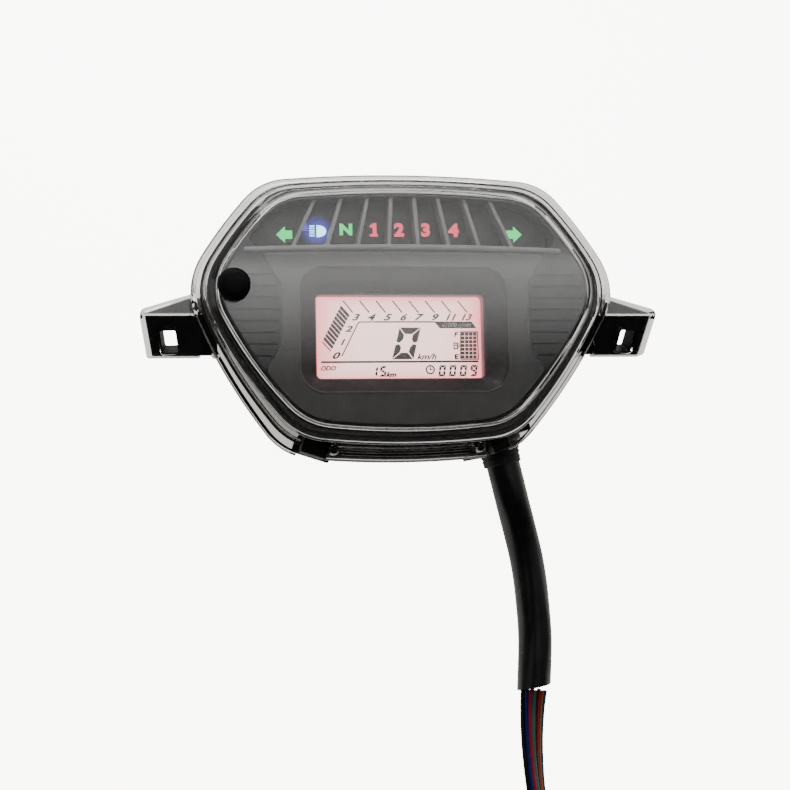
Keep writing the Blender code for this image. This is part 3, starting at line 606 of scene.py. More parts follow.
# A grey lighter than the dial for its thin raised lines: painted highlight.
DIAL_LINE_HIGHLIGHT = moulded("dial_line_painted_highlight", (0.055, 0.056, 0.058), 0.45, 0.000003, 2600.0, 0.05)
FILM = moulded("printed_film", (0.013, 0.0135, 0.016), 0.4, 0.000005, 3200.0, 0.06)
PAD = moulded("printed_pad", (0.024, 0.026, 0.026), 0.4, 0.000005, 3200.0, 0.06)
RUBBER = moulded("button_rubber", (0.003, 0.003, 0.0032), 0.7, 0.00004, 1700.0, 0.2, specular=0.12)
SEAL = moulded("seal_rubber", (0.006, 0.006, 0.006), 0.6, 0.00003, 1500.0)
WHITE = moulded("white_nylon", (0.62, 0.62, 0.58), 0.4, 0.00002, 1500.0, 0.05)
CHIP = moulded("chip_epoxy", (0.012, 0.012, 0.013), 0.45, 0.00003, 3000.0)
BOARD = board_shader()
STEEL = metal_shader("zinc_steel", (0.55, 0.55, 0.56), 0.28)
BRASS = metal_shader("tinned_brass", (0.72, 0.68, 0.55), 0.25)
SLEEVE = sleeve_shader()
LED = moulded("led_resin", (0.70, 0.66, 0.45), 0.25, 0.00001, 2000.0)


# ------------------------------------------------------------------ harness


def smooth_route(points, spacing):
    spots = [Vector(p) for p in points]
    ends = [spots[0] * 2 - spots[1]] + spots + [spots[-1] * 2 - spots[-2]]
    fine = []
    for p0, p1, p2, p3 in zip(ends, ends[1:], ends[2:], ends[3:]):
        for i in range(24):
            u = i / 24
            fine.append(
                0.5 * (2 * p1 + (p2 - p0) * u + (2 * p0 - 5 * p1 + 4 * p2 - p3) * u**2)
                + 0.5 * (3 * p1 - p0 - 3 * p2 + p3) * u**3
            )
    fine.append(spots[-1])
    total = sum((b - a).length for a, b in zip(fine, fine[1:]))
    pieces = max(2, round(total / spacing))
    route = [fine[0]]
    walked = 0.0
    for a, b in zip(fine, fine[1:]):
        walked += (b - a).length
        if walked >= total / pieces * len(route) and len(route) < pieces:
            route.append(b)
    return route + [fine[-1]]


def frames(route):
    """A level side vector and an up vector at each point of a route."""
    out = []
    for i, p in enumerate(route):
        ahead = route[min(i + 1, len(route) - 1)] - route[max(i - 1, 0)]
        side = ahead.cross(Vector((0, 0, 1))).normalized()
        out.append((p, side, side.cross(ahead).normalized()))
    return out


def tube_curve(name, route, radius, resolution=6):
    curve = bpy.data.curves.new(name, "CURVE")
    curve.dimensions = "3D"
    curve.bevel_depth = radius * MM
    curve.bevel_resolution = resolution
    curve.use_fill_caps = True
    spline = curve.splines.new("POLY")
    spline.points.add(len(route) - 1)
    for spot, place in zip(spline.points, route):
        spot.co = (*(place * MM), 1.0)
    spline.use_smooth = True
    item = bpy.data.objects.new(name, curve)
    bpy.context.scene.collection.objects.link(item)
    return item


EXIT = (46.1, -50.0, 13.0)
EXIT_TURN_DEG = 12.0
SLEEVE_R = 7.5
SLEEVE_ROUTE = [
    (48.7, -61.5, 13.0),
    (52.6, -77.0, 12.4),
    (56.6, -91.0, 9.6),
    (59.9, -106.0, 7.9),
    (61.8, -122.0, 7.7),
    (62.8, -140.0, 7.7),
    (61.7, -162.0, 7.7),
]
WIRES_ROUTE = [
    (61.5, -163.1, 7.0),
    (60.6, -172.0, 6.0),
    (60.0, -186.0, 5.4),
    (60.6, -202.0, 5.4),
    (62.2, -218.0, 5.6),
    (63.6, -233.0, 6.6),
    (64.2, -242.0, 7.4),
]
CONNECTOR_SIZE = (26.0, 22.0, 14.6)
CONNECTOR_TURN_DEG = 4.0
WIRE_R = 0.95
WIRE_COLOURS = [
    ("teal", (0.03, 0.13, 0.19)),
    ("orange", (0.50, 0.09, 0.03)),
    ("dark_red", (0.20, 0.004, 0.01)),
    ("green", (0.06, 0.24, 0.19)),
    ("rose", (0.48, 0.02, 0.05)),
    ("blue", (0.008, 0.02, 0.17)),
    ("black", (0.006, 0.006, 0.007)),
    ("yellow", (0.50, 0.33, 0.02)),
    ("white", (0.55, 0.55, 0.52)),
    ("brown", (0.09, 0.03, 0.012)),
]


def make_sleeve():
    """A soft vinyl tube, a little flattened and creased along its length, open at its far end."""
    route = smooth_route(SLEEVE_ROUTE, 1.6)
    spots = frames(route)
    around = 56
    wall = 0.7
    bm = bmesh.new()
    rows = []
    total = len(spots)

    def radius(i, angle):
        u = i / (total - 1)
        crease = 0.55 * math.exp(-((angle - math.radians(62 + 16 * math.sin(4.0 * u))) / 0.2) ** 2)
        crease *= min(1.0, u * 5.0)
        press = 0.16 * math.sin(angle * 3 + u * 9.0) + 0.12 * math.sin(angle * 5 - u * 14.0)
        return SLEEVE_R + 0.05 - crease + press * 0.6

    def section(i, shrink):
        p, side, up = spots[i]
        made = []
        for k in range(around):
            a = 2 * math.pi * k / around
            r = radius(i, a) - shrink
            slant = 1.75 * math.cos(a) * max(0.0, (i - total + 8) / 7)
            spot = p + side * math.cos(a) * r + up * math.sin(a) * r + side.cross(up) * -slant
            spot.z = max(spot.z, 0.25)
            made.append(bm.verts.new(spot))
        return made

    for i in range(total):
        rows.append(section(i, 0.0))
    for i in range(total - 1, total - 12, -1):
        rows.append(section(i, wall))
    for a, b in zip(rows, rows[1:]):
        for k in range(around):
            j = (k + 1) % around
            bm.faces.new((a[k], a[j], b[j], b[k]))
    bm.faces.new(rows[0])
    bm.faces.new(rows[-1])
    sleeve = link_mesh("sleeve_skin", bm, angle=60.0)
    dress(sleeve, SLEEVE, "sleeve", "harness_sleeve")
    return sleeve


def wire_offsets(count):
    """Places of the wires where they leave the sleeve: most side by side on top, the rest under them."""
    upper = 7
    spots = []
    for i in range(count):
        if i < upper:
            spots.append(((i - 3) * 1.72, 1.3 + 1.6 * math.cos((i - 3) * 0.5)))
        else:
            spots.append(((i - upper - 1) * 3.0, -1.4))
    return spots


def make_wires(connector_pieces):
    centre = smooth_route(WIRES_ROUTE, 4.0)
    start = centre[0]
    lead = (centre[1] - centre[0]).normalized()
    offsets = wire_offsets(len(WIRE_COLOURS))
    for n, ((name, colour), (ox, oy)) in enumerate(zip(WIRE_COLOURS, offsets)):
        route = []
        for i, (p, side, up) in enumerate(frames(centre)):
            u = i / (len(centre) - 1)
            twist = 0.5 * math.sin(2.6 * u)
            c, s = math.cos(twist), math.sin(twist)
            loose = 1.0 - (0.18 - 0.08 * math.sin(5.0 * u + n)) * math.sin(math.pi * u)
            x, y = (ox * c - oy * s) * loose, (ox * s + oy * c) * loose
            flat = min(1.0, max(0.0, (u - 0.75) / 0.25))
            column = (n % 5 - 2) * 3.2
            row = 1.9 if n >= 5 else -1.9
            x = x + (column - x) * flat
            y = y + (row - y) * flat
            spot = p + side * x + up * y
            spot.z = max(spot.z, WIRE_R + 0.25)
            route.append(spot)
        shader = moulded(f"wire_{name}", colour, 0.32, 0.00001, 2400.0, 0.08)
        wire = tube_curve(f"wire_{name}", route, WIRE_R, 4)
        dress(wire, shader, "wire", "wire_bundle")
    turn = lead.to_track_quat("Z", "Y").to_matrix()
    plug = cylinder("sleeve_filler", start - lead * 10.0, 6.2, 6.0, turn=turn)
    dress(plug, BLACK, "sleeve")


def make_connector():
    """The plug housing at the harness's end: ribbed sides, a keyed mouth with its contacts, a latch."""
    end = Vector(WIRES_ROUTE[-1])
    turn = Matrix.Rotation(math.radians(CONNECTOR_TURN_DEG), 3, "Z")
    wide, deep, high = CONNECTOR_SIZE
    middle = end + turn @ Vector((0.0, -deep / 2 - 1.1, 0.0))
    middle.z = high / 2

    def local_box(name, low, high_corner, bevel=0.0):
        low, high_corner = Vector(low), Vector(high_corner)
        centre = (low + high_corner) / 2
        half = (high_corner - low) / 2
        at = middle + turn @ centre
        return box(name, at - half, at + half, turn=turn, bevel=bevel)

    x, y, z = wide / 2, deep / 2, high / 2
    body = local_box("connector_shell", (-x, -y, -z), (x, y, z), 0.7)
    cut(body, local_box("mouth", (-x + 2.0, -y - 4.0, -z + 2.4), (x - 2.0, y - 4.5, z - 2.4), 0.5))
    for i in (-1, 1):
        cut(body, local_box(f"key_{i}", (i * 7.0 - 1.2, -y - 4, z - 3.0), (i * 7.0 + 1.2, y - 5, z - 1.4)))
    for i in range(4):
        at = y - 3.0 - i * 1.9
        cut(body, local_box(f"grip_a{i}", (-x - 1, at - 0.4, -z + 3), (-x + 0.5, at + 0.4, z - 3)))
        cut(body, local_box(f"grip_b{i}", (x - 0.5, at - 0.4, -z + 3), (x + 1, at + 0.4, z - 3)))
    for i in range(10):
        cx, cz = (i % 5 - 2) * 3.2, (1.9 if i >= 5 else -1.9)
        entry = (cx - 1.25, y - 6.0, cz - 1.25), (cx + 1.25, y + 1.0, cz + 1.25)
        cut(body, local_box(f"entry_{i}", *entry))
    resharpen(body)
    dress(body, WHITE, "connector", "harness_connector")
    pins = []
    for i in range(10):
        cx, cz = (i % 5 - 2) * 3.9, (2.0 if i >= 5 else -2.0)
        pin = (cx - 0.75, -y + 5.5, cz - 0.3), (cx + 0.75, y - 4.0, cz + 0.3)
        pins.append(local_box(f"pin_{i}", *pin, 0.12))
    contacts = dress(merged("connector_contacts", pins), BRASS, "connector")
    arm = local_box("latch_arm", (-4.0, -y + 3.6, z + 0.35), (4.0, y - 3.9, z + 1.35), 0.3)
    join(arm, local_box("latch_hook", (-4.0, -y + 3.6, z + 0.6), (4.0, -y + 6.0, z + 2.0), 0.3))
    join(arm, local_box("latch_thumb", (-4.4, y - 6.0, z + 0.5), (4.4, y - 3.9, z + 1.9), 0.3))
    cut(arm, local_box("latch_slot", (-1.8, -y + 8.0, z - 1.0), (1.8, y - 8.0, z + 4.0), 0.4))
    resharpen(arm)
    dress(arm, WHITE, "connector", "connector_lock")
    return [body, contacts, arm]


def outlet_turn():
    return Matrix.Rotation(math.radians(EXIT_TURN_DEG), 3, "Z") @ Matrix.Rotation(math.pi / 2, 3, "X")


def outlet_point(back):
    way = outlet_turn() @ Vector((0, 0, 1))
    face = Vector(EXIT) + Vector((way.x * 0.5, 0.0, 0.0))
    return face - way * back


def make_grommet():
    """The rubber grommet: a groove round the housing's wall, a flange and a ringed strain relief."""
    profile = [(5.4, -11.0), (8.0, -11.0), (8.2, -10.7), (8.2, 0.2), (10.2, 0.35), (10.6, 0.7)]
    profile += [(10.6, 2.2), (10.2, 2.7), (9.5, 2.9)]
    for i in range(4):
        at = 3.2 + i * 1.9
        wide = 9.3 - i * 0.22
        profile += [(wide - 0.3, at), (wide - 0.3, at + 0.4), (wide, at + 0.7), (wide, at + 1.5)]
    profile += [(8.5, 11.0), (8.5, 12.4), (8.2, 12.7), (7.7, 12.7), (7.6, 9.5), (5.4, 9.5)]
    place, turn = outlet_point(0.0), outlet_turn()
    item = turned("grommet", profile, place, 72, turn, closed=True, angle=28.0)
    return dress(item, SEAL, "grommet", "cable_grommet")


make_sleeve()
make_wires(make_connector())
make_grommet()


# ------------------------------------------------------------------ stage and lights


FLOOR_GLOW = 9.0
FLOOR_UNDER = 0.8


def make_stage():
    """A pale floor that is lit from below, like a light table."""
    bm = bmesh.new()
    bmesh.ops.create_grid(bm, x_segments=2, y_segments=2, size=2500.0)
    floor = link_mesh("floor", bm, smooth=False)
    shader = Shader("pale_floor", (0.90, 0.90, 0.90), 0.9)
    shader.mottle(3.0, 0.01)
    shader.set("Emission Color", (1.0, 0.97, 0.92, 1.0))
    seen = shader.node("ShaderNodeLightPath").outputs["Is Camera Ray"]
    span = shader.node("ShaderNodeMapRange")
    span.inputs["To Min"].default_value = FLOOR_UNDER
    span.inputs["To Max"].default_value = FLOOR_GLOW
    shader.link(seen, span.inputs["Value"])
    shader.link(span.outputs["Result"], shader.main.inputs["Emission Strength"])
    floor.data.materials.append(shader.material)


# How the patch fades: the axis of the direction, where it is gone, where it is full, and what is left of it
SKY_PATCH = [
    ("Y", 0.098, 0.178, 0.0),
    ("Y", 0.175, 0.160, 0.42),
    ("Y", 0.62, 0.34, 0.0),
    ("X", 0.62, 0.36, 0.0),
    ("X", -0.40, -0.14, 0.0),
    ("Z", 0.3, 0.7, 0.0),
]


def light_world(low, high):
    """A dim sky with one soft bright patch overhead, towards the top right of the dial."""
    world = bpy.data.worlds.new("studio")
    bpy.context.scene.world = world
    world.use_nodes = True
    tree = world.node_tree
    back = tree.nodes["Background"]
    back.inputs["Color"].default_value = (1.0, 1.0, 1.0, 1.0)
    coords = tree.nodes.new("ShaderNodeTexCoord")
    split = tree.nodes.new("ShaderNodeSeparateXYZ")
    tree.links.new(coords.outputs["Generated"], split.inputs["Vector"])
    total = None
    for axis, start, end, rest in SKY_PATCH:
        span = tree.nodes.new("ShaderNodeMapRange")
        span.interpolation_type = "SMOOTHSTEP"
        rising = end > start
        span.inputs["From Min"].default_value = start if rising else end
        span.inputs["From Max"].default_value = end if rising else start
        span.inputs["To Min"].default_value = rest if rising else 1.0
        span.inputs["To Max"].default_value = 1.0 if rising else rest
        tree.links.new(split.outputs[axis], span.inputs["Value"])
        if total is None:
            total = span.outputs["Result"]
            continue
        both = tree.nodes.new("ShaderNodeMath")
        both.operation = "MULTIPLY"
        tree.links.new(total, both.inputs[0])
        tree.links.new(span.outputs["Result"], both.inputs[1])
        total = both.outputs[0]
    level = tree.nodes.new("ShaderNodeMapRange")
    level.inputs["To Min"].default_value = low
    level.inputs["To Max"].default_value = high
    tree.links.new(total, level.inputs["Value"])
    tree.links.new(level.outputs["Result"], back.inputs["Strength"])


def add_lights():
    light_world(0.02, 3.2)
    middle = (0.0, -0.03, 0.03)
    add_softbox("left_box", (-1.15, 0.15, 0.75), middle, (0.9, 0.6), 0.8)
    add_softbox("right_box", (1.15, 0.15, 0.75), middle, (0.9, 0.6), 0.6)
    add_softbox("top_box", (0.0, 1.15, 0.85), middle, (1.2, 0.6), 1.4)
    add_softbox("low_box", (0.0, 1.5, 0.46), middle, (2.4, 0.5), 4.2)
    add_softbox("near_box", (-0.04, 0.19, 0.17), (-0.01, 0.03, 0.05), (0.26, 0.05), 0.4)


make_stage()
add_lights()


# ------------------------------------------------------------------ lens and ears

WINDOW_Z = 58.0
RIM_THICK = 3.2
EAR_SKIN = 3.0
EAR_DEPTH = 8.0
BACKING_THICK = 3.6
SLOT_CENTRE = (99.8, -8.4)
SLOT_SIZE = (7.4, 11.2)
SLOT_SWEEP_DEG = 10.0
SLOT_SLANT_DEG = 8.0
NOTCH_TOP_Z = 42.5
SHELF_Z = 24.1
BOSSES = {"left": (-30.6, -56.2), "right": (33.6, -55.6)}
NOTCHES = {"left": (-38.8, -56.6, 13.0, -18.0), "right": (43.0, -55.4, 9.6, 24.0)}
PADS = {"left": (-38.8, -56.6, 17.2, -18.0), "right": (33.4, -58.4, 9.4, 9.0)}
BUTTON_XY = (-73.7, 12.0)


def wedge(name, side, plan, lift, depth):
    """A bent plate that follows an ear's front, lift below it and depth thick, cut to a plan."""
    ys = [EAR_BOTTOM_Y - 4.0, EAR_RIDGE_Y, EAR_RIDGE_Y + 12.0]
    section = [(y, ear_z(y) - lift) for y in ys]
    section += [(y, ear_z(y) - lift - depth) for y in reversed(ys)]
    ends = sorted((side * 60.0, side * (EAR_TIP_X + 5.0)))
    body = loft(name, [[Vector((x, y, z)) for y, z in section] for x in ends])
    knife = prism(name + "_plan", [Vector((side * x, y)) for x, y in plan], 0.0, 70.0)
    combine(body, knife, "INTERSECT")
    return body


def ear_plan(margin, root_x):
    corners = [
        (root_x, 11.4 - margin),
        (92.0, 10.4 - margin),
        (EAR_TIP_X - 1.0 - margin, 3.9 - margin),
        (EAR_TIP_X - margin, EAR_RIDGE_Y),
        (109.5 - margin, EAR_BOTTOM_Y + margin * 0.4),
        (root_x, EAR_BOTTOM_Y + margin * 0.4),
    ]
    return round_off(corners, max(0.3, 1.2 - margin * 0.2))


def round_off(corners, reach):
    """A polygon with each corner cut back by reach and bent smoothly."""
    out = []
    count = len(corners)
    for i in range(count):
        before, here, after = (Vector(corners[(i + k) % count]) for k in (-1, 0, 1))
        r = min(reach, (before - here).length * 0.45, (after - here).length * 0.45)
        a = here + (before - here).normalized() * r
        b = here + (after - here).normalized() * r
        for k in range(5):
            u = k / 4
            out.append(a.lerp(here, u).lerp(here.lerp(b, u), u))
    return out


def slot_frame(side):
    x, y = side * SLOT_CENTRE[0], SLOT_CENTRE[1]
    lean = Matrix.Rotation(math.radians(33.0), 3, "X")
    sweep = Matrix.Rotation(math.radians(side * SLOT_SWEEP_DEG), 3, "Y")
    slant = Matrix.Rotation(math.radians(-side * SLOT_SLANT_DEG), 3, "Z")
    return Vector((x, y, ear_z(y) - 3.0)), lean @ sweep @ slant


def slot_plug(side, extra, low, high):
    """A rounded bar along an ear's slot, extra wider than the slot all round."""
    middle, turn = slot_frame(side)
    size = (SLOT_SIZE[0] + 2 * extra, SLOT_SIZE[1] + 2 * extra)
    points = rounded_box((0.0, 0.0), size, 1.3 + extra, 6)
    rings = [[middle + turn @ Vector((p.x, p.y, z)) for p in points] for z in (low, high)]
    return loft(f"slot_plug_{side}", rings)


def root_wall(side):
    outer = [p for p in outline() if p.x * side > 0 and -16.5 < p.y < 10.8]
    inner = [p for p in outline(0.0, 2.2) if p.x * side > 0 and -16.5 < p.y < 10.8]
    plan = outer + list(reversed(inner))
    return loft(f"root_wall_{side}", [ring(plan, lambda y: ear_z(y) - 6.5), ring(plan, below_rim(1.2))])


def edge_box(name, spot, extra, out, back, low, high, bevel=0.0):
    """A box on the lens's lower edge: spot gives its x, y, width and turn."""
    x, y, width, turn_deg = spot
    turn = Matrix.Rotation(math.radians(turn_deg), 3, "Z")
    half = (width + extra) / 2
    corners = (x - half, y - out, low), (x + half, y + back, high)
    return box(name, *corners, turn=turn, pivot=(x, y, 0.0), bevel=bevel)


def below_rim(depth):
    return lambda y: rim_z(y) - depth


def lens_rings():
    """The lens's section, from the middle of the window round the rim and back under the window."""
    edge = [(3.4, 0.0), (2.4, 0.0), (1.7, 0.01), (1.1, 0.06), (0.6, 0.24), (0.25, 0.6), (0.05, 1.1)]
    edge.append((0.0, 1.8))
    rings = [ring(outline(1.0, inset), WINDOW_Z - drop) for inset, drop in edge]
    for share, inset, z in ((1.0, -0.2, 56.2), (1.0, -0.55, 55.4), (0.88, -0.2, 54.6), (0.72, 0.1, 53.8)):
        rings.append(ring(outline(share, inset), z))
    foot = [(0.9, 53.0), (0.45, 52.85), (0.1, 52.4), (0.0, 51.8)]
    rings += [ring(outline(LEDGE, inset), z) for inset, z in foot]
    for inset, drop in ((-0.3, -1.4), (-0.5, -0.9), (-0.9, -0.55), (-1.6, -0.4)):
        rings.append(ring(outline(LEDGE, inset), below_rim(drop)))
    edge = [(1.9, -0.4), (1.5, -0.45), (1.05, -0.2), (0.6, 0.3), (0.25, 0.95), (0.0, 1.7), (0.0, 2.2)]
    edge += [(0.1, 2.7), (0.45, 3.1), (0.8, 3.2), (1.6, 3.2), (1.9, 3.0), (2.1, 2.2), (2.3, 1.4)]
    rings += [ring(outline(0.0, inset), below_rim(drop)) for inset, drop in edge]
    for inset, drop in ((0.0, 1.4), (0.7, 1.25), (1.1, 0.9), (1.2, 0.5)):
        rings.append(ring(outline(LEDGE, inset), below_rim(drop)))
    rings += [ring(outline(LEDGE, inset), z) for inset, z in ((1.2, 50.0), (1.6, 50.5), (2.9, 50.8))]
    rings.append(ring(outline(0.72, 2.0), 51.6))
    under = [(0.9, 52.6), (1.2, 53.4), (1.3, 55.5), (1.7, 55.8), (2.6, 55.8), (3.6, 55.8)]
    return rings + [ring(outline(1.0, inset), z) for inset, z in under]


def make_lens():
    lens = loft("lens", lens_rings(), angle=40.0)
    for side in (-1, 1):
        ear = wedge(f"ear_{side}", side, ear_plan(0.0, 86.5), 0.0, EAR_DEPTH)
        cut(ear, wedge(f"ear_hollow_{side}", side, ear_plan(2.0, 74.0), EAR_SKIN, BACKING_THICK + 20.0))
        join(lens, root_wall(side), ear)
        cut(lens, slot_plug(side, 0.5, -16.0, 16.0))
    for name, spot in NOTCHES.items():
        cut(lens, edge_box(f"{name}_notch", spot, 0.0, 6.0, 6.0, 12.0, NOTCH_TOP_Z, bevel=0.5))
    for name, (x, y) in BOSSES.items():
        z = rim_z(y)
        boss = [(0.0, 0.0), (2.3, 0.0), (2.5, 0.3), (2.5, 12.0), (2.2, 13.4), (1.4, 14.2), (0.0, 14.5)]
        join(lens, turned(f"boss_{name}", boss, (x, y, z - 2.6)))
    cut(lens, cylinder("button_hole", (*BUTTON_XY, WINDOW_Z - 6.0), 3.6, 10.0))
    resharpen(lens, 38.0)
    dress(lens, LENS, "lens", "clear_lens")
    return lens


# ------------------------------------------------------------------ housing

FLOOR_THICK = 2.5
UPPER_EDGE_Z = 38.2
UPPER_EDGE_Y = 24.0
HOUSING_SCREWS = [(-61.0, -9.0), (61.0, -9.0), (-62.0, 22.5), (62.0, 22.5)]
BASE = 0.9
FLANGE_Z = 49.3
APRON_SPAN = (-31.5, 37.0)
SKIRT_SPAN = (-29.0, 31.0)
GAP = 0.3


def housing_edge(y):
    return min(rim_z(y) - 3.4, UPPER_EDGE_Z + max(0.0, UPPER_EDGE_Y - y) * 0.9)


def make_housing():
    rings = [ring(outline(BASE, 4.6 - 1.6 * s), 1.6 * (1 - c)) for s, c in quarter(6)]
    for u in (0.5, 0.97, 1.0):
        rings.append(ring(outline(BASE + (LEDGE - BASE) * u, 3.0 + 1.6 * u), scaled_edge(u)))
    rings += [ring(outline(LEDGE, inset), housing_edge) for inset in (4.9, 7.0)]
    rings += [ring(outline(LEDGE, 7.1), lambda y: housing_edge(y) - 0.4)]
    rings += [ring(outline(BASE, 5.6), FLOOR_THICK + 1.0), ring(outline(BASE, 7.0), FLOOR_THICK)]
    housing = loft("housing_shell", rings)
    turn = Matrix.Rotation(math.radians(EXIT_TURN_DEG), 3, "Z")
    low = (EXIT[0] - 12.5, EXIT[1], 1.0)
    high = (EXIT[0] + 12.5, EXIT[1] + 12.0, 25.0)
    join(housing, box("cable_outlet", low, high, turn=turn, bevel=1.0))
    for name, spot in NOTCHES.items():
        join(housing, edge_box(f"{name}_shelf", spot, -1.0, 2.3, 9.0, SHELF_Z, SHELF_Z + 3.4, 0.6))
        join(housing, edge_box(f"{name}_block", spot, -1.3, 2.1, 4.4, SHELF_Z + 1.0, NOTCH_TOP_Z - 3.9, 0.8))
    for name, spot in PADS.items():
        join(housing, edge_box(f"{name}_pad", spot, 0.0, 2.2, 9.6, SHELF_Z - 3.2, SHELF_Z + 0.6, 0.6))
    for side in (-1, 1):
        plate = wedge(f"backing_{side}", side, ear_plan(2.3, 79.5), EAR_SKIN + GAP, BACKING_THICK)
        join(plate, slot_plug(side, 0.35, -5.6, 2.2))
        cut(plate, slot_plug(side, -0.35, -16.0, 16.0))
        join(housing, plate)
    join(housing, make_apron())
    towers = [cylinder(f"tower_{i}", (x, y, 1.5), 5.4, 24.5) for i, (x, y) in enumerate(HOUSING_SCREWS)]
    join(housing, *towers)
    for i, (x, y) in enumerate(HOUSING_SCREWS):
        cut(housing, cylinder(f"tower_head_{i}", (x, y, -1.0), 3.7, 19.0))
        cut(housing, cylinder(f"tower_mouth_{i}", (x, y, -0.2), 4.5, 0.9, top_radius=3.6))
        cut(housing, cylinder(f"tower_hole_{i}", (x, y, 17.0), 1.9, 12.0, sides=24))
    cut(housing, cylinder("grommet_hole", outlet_point(14.0), 8.4, 24.0, turn=outlet_turn()))
    cut(housing, cylinder("breather_pocket", (0.0, 20.0, -1.0), 7.0, 2.0))
    cut(housing, cylinder("breather_hole", (0.0, 20.0, -1.0), 2.0, 6.0, sides=24))
    grooves = []
    for i in range(3):
        inner = ring(rounded_box((0.0, -14.0), (74.0 - 9.0 * i, 26.0 - 9.0 * i), 5.0 - i), -0.5)
        outer = ring(rounded_box((0.0, -14.0), (75.2 - 9.0 * i, 27.2 - 9.0 * i), 5.6 - i), -0.5)
        lift = Vector((0, 0, 1.1))
        rows = [inner, outer, [p + lift for p in outer], [p + lift for p in inner]]
        grooves.append(loft(f"back_groove_{i}", rows, closed=True))
    cut(housing, *grooves)
    resharpen(housing)
    dress(housing, BLACK, "housing", "rear_housing")
    return housing


def make_apron():
    """The housing's black edge under the middle of the skirt."""
    outer = [p for p in outline(0.0, 0.1) if APRON_SPAN[0] < p.x < APRON_SPAN[1] and p.y < -50.0]
    inner = [p for p in outline(LEDGE, 5.2) if APRON_SPAN[0] < p.x < APRON_SPAN[1] and p.y < -40.0]
    plan = outer + list(reversed(inner))
    return loft("apron", [ring(plan, below_rim(5.6)), ring(plan, below_rim(3.6))])


def scaled_edge(u):
    return lambda y: 1.6 + (housing_edge(y) - 1.6) * u


# ------------------------------------------------------------------ dial

MASK_Z = 50.4
FILM_Z = 39.0
GLASS_TOP_Z = 38.8
RECESS_BOTTOM_Y = 31.0
RIB_WIDTH = 1.7
RIB_LINES = [(6.4, 5.1), (19.9, 15.4), (33.2, 26.8), (47.8, 38.0)]
DISPLAY_CENTRE = (-1.6, -8.4)
DISPLAY_OPENING = (73.3, 36.5)
BEZEL_CENTRE = (-0.5, -5.8)
BEZEL_SIZE = (89.7, 53.3)
BEZEL_CORNER = 10.8
BEZEL_BOTTOM_Z = 46.0
GROOVE_TOP_Y = 17.6
GROOVE_PITCH = 4.96
GROOVE_WIDTH = 0.85
GROOVE_DEPTH = 0.9
GROOVE_COUNT = 8
PANEL = [(61.7, 26.7), (54.6, 16.0), (53.3, 11.1), (54.1, -13.0), (60.9, -23.6)]


def grown(size, amount):
    return (size[0] + amount, size[1] + amount)


def recess_outline(inset, bar_inset=None, steps=24):
    """The indicator recess: the window's upper part, closed by a bar that arches along its bottom."""
    bar_inset = inset if bar_inset is None else bar_inset
    bar_y = RECESS_BOTTOM_Y + bar_inset
    upper = [p for p in outline(1.0, 2.2 + inset) if p.y > bar_y + 3.5]
    right = [p for p in upper if p.x >= 0]
    left = [p for p in upper if p.x < 0]
    end = right[-1]
    bar = []
    for i in range(steps + 1):
        u = 1.0 - 2.0 * i / steps
        bar.append(Vector((u * (end.x - 3.2), bar_y - 1.5 * u * u)))
    corner = []
    other = []
    knee = Vector((end.x + 0.9, bar_y - 1.2))
    for i in range(1, 6):
        t = i / 6
        p = end.lerp(knee, t).lerp(knee.lerp(bar[0], t), t)
        corner.append(p)
        other.append(Vector((-p.x, p.y)))
    return right + corner + bar + list(reversed(other)) + left


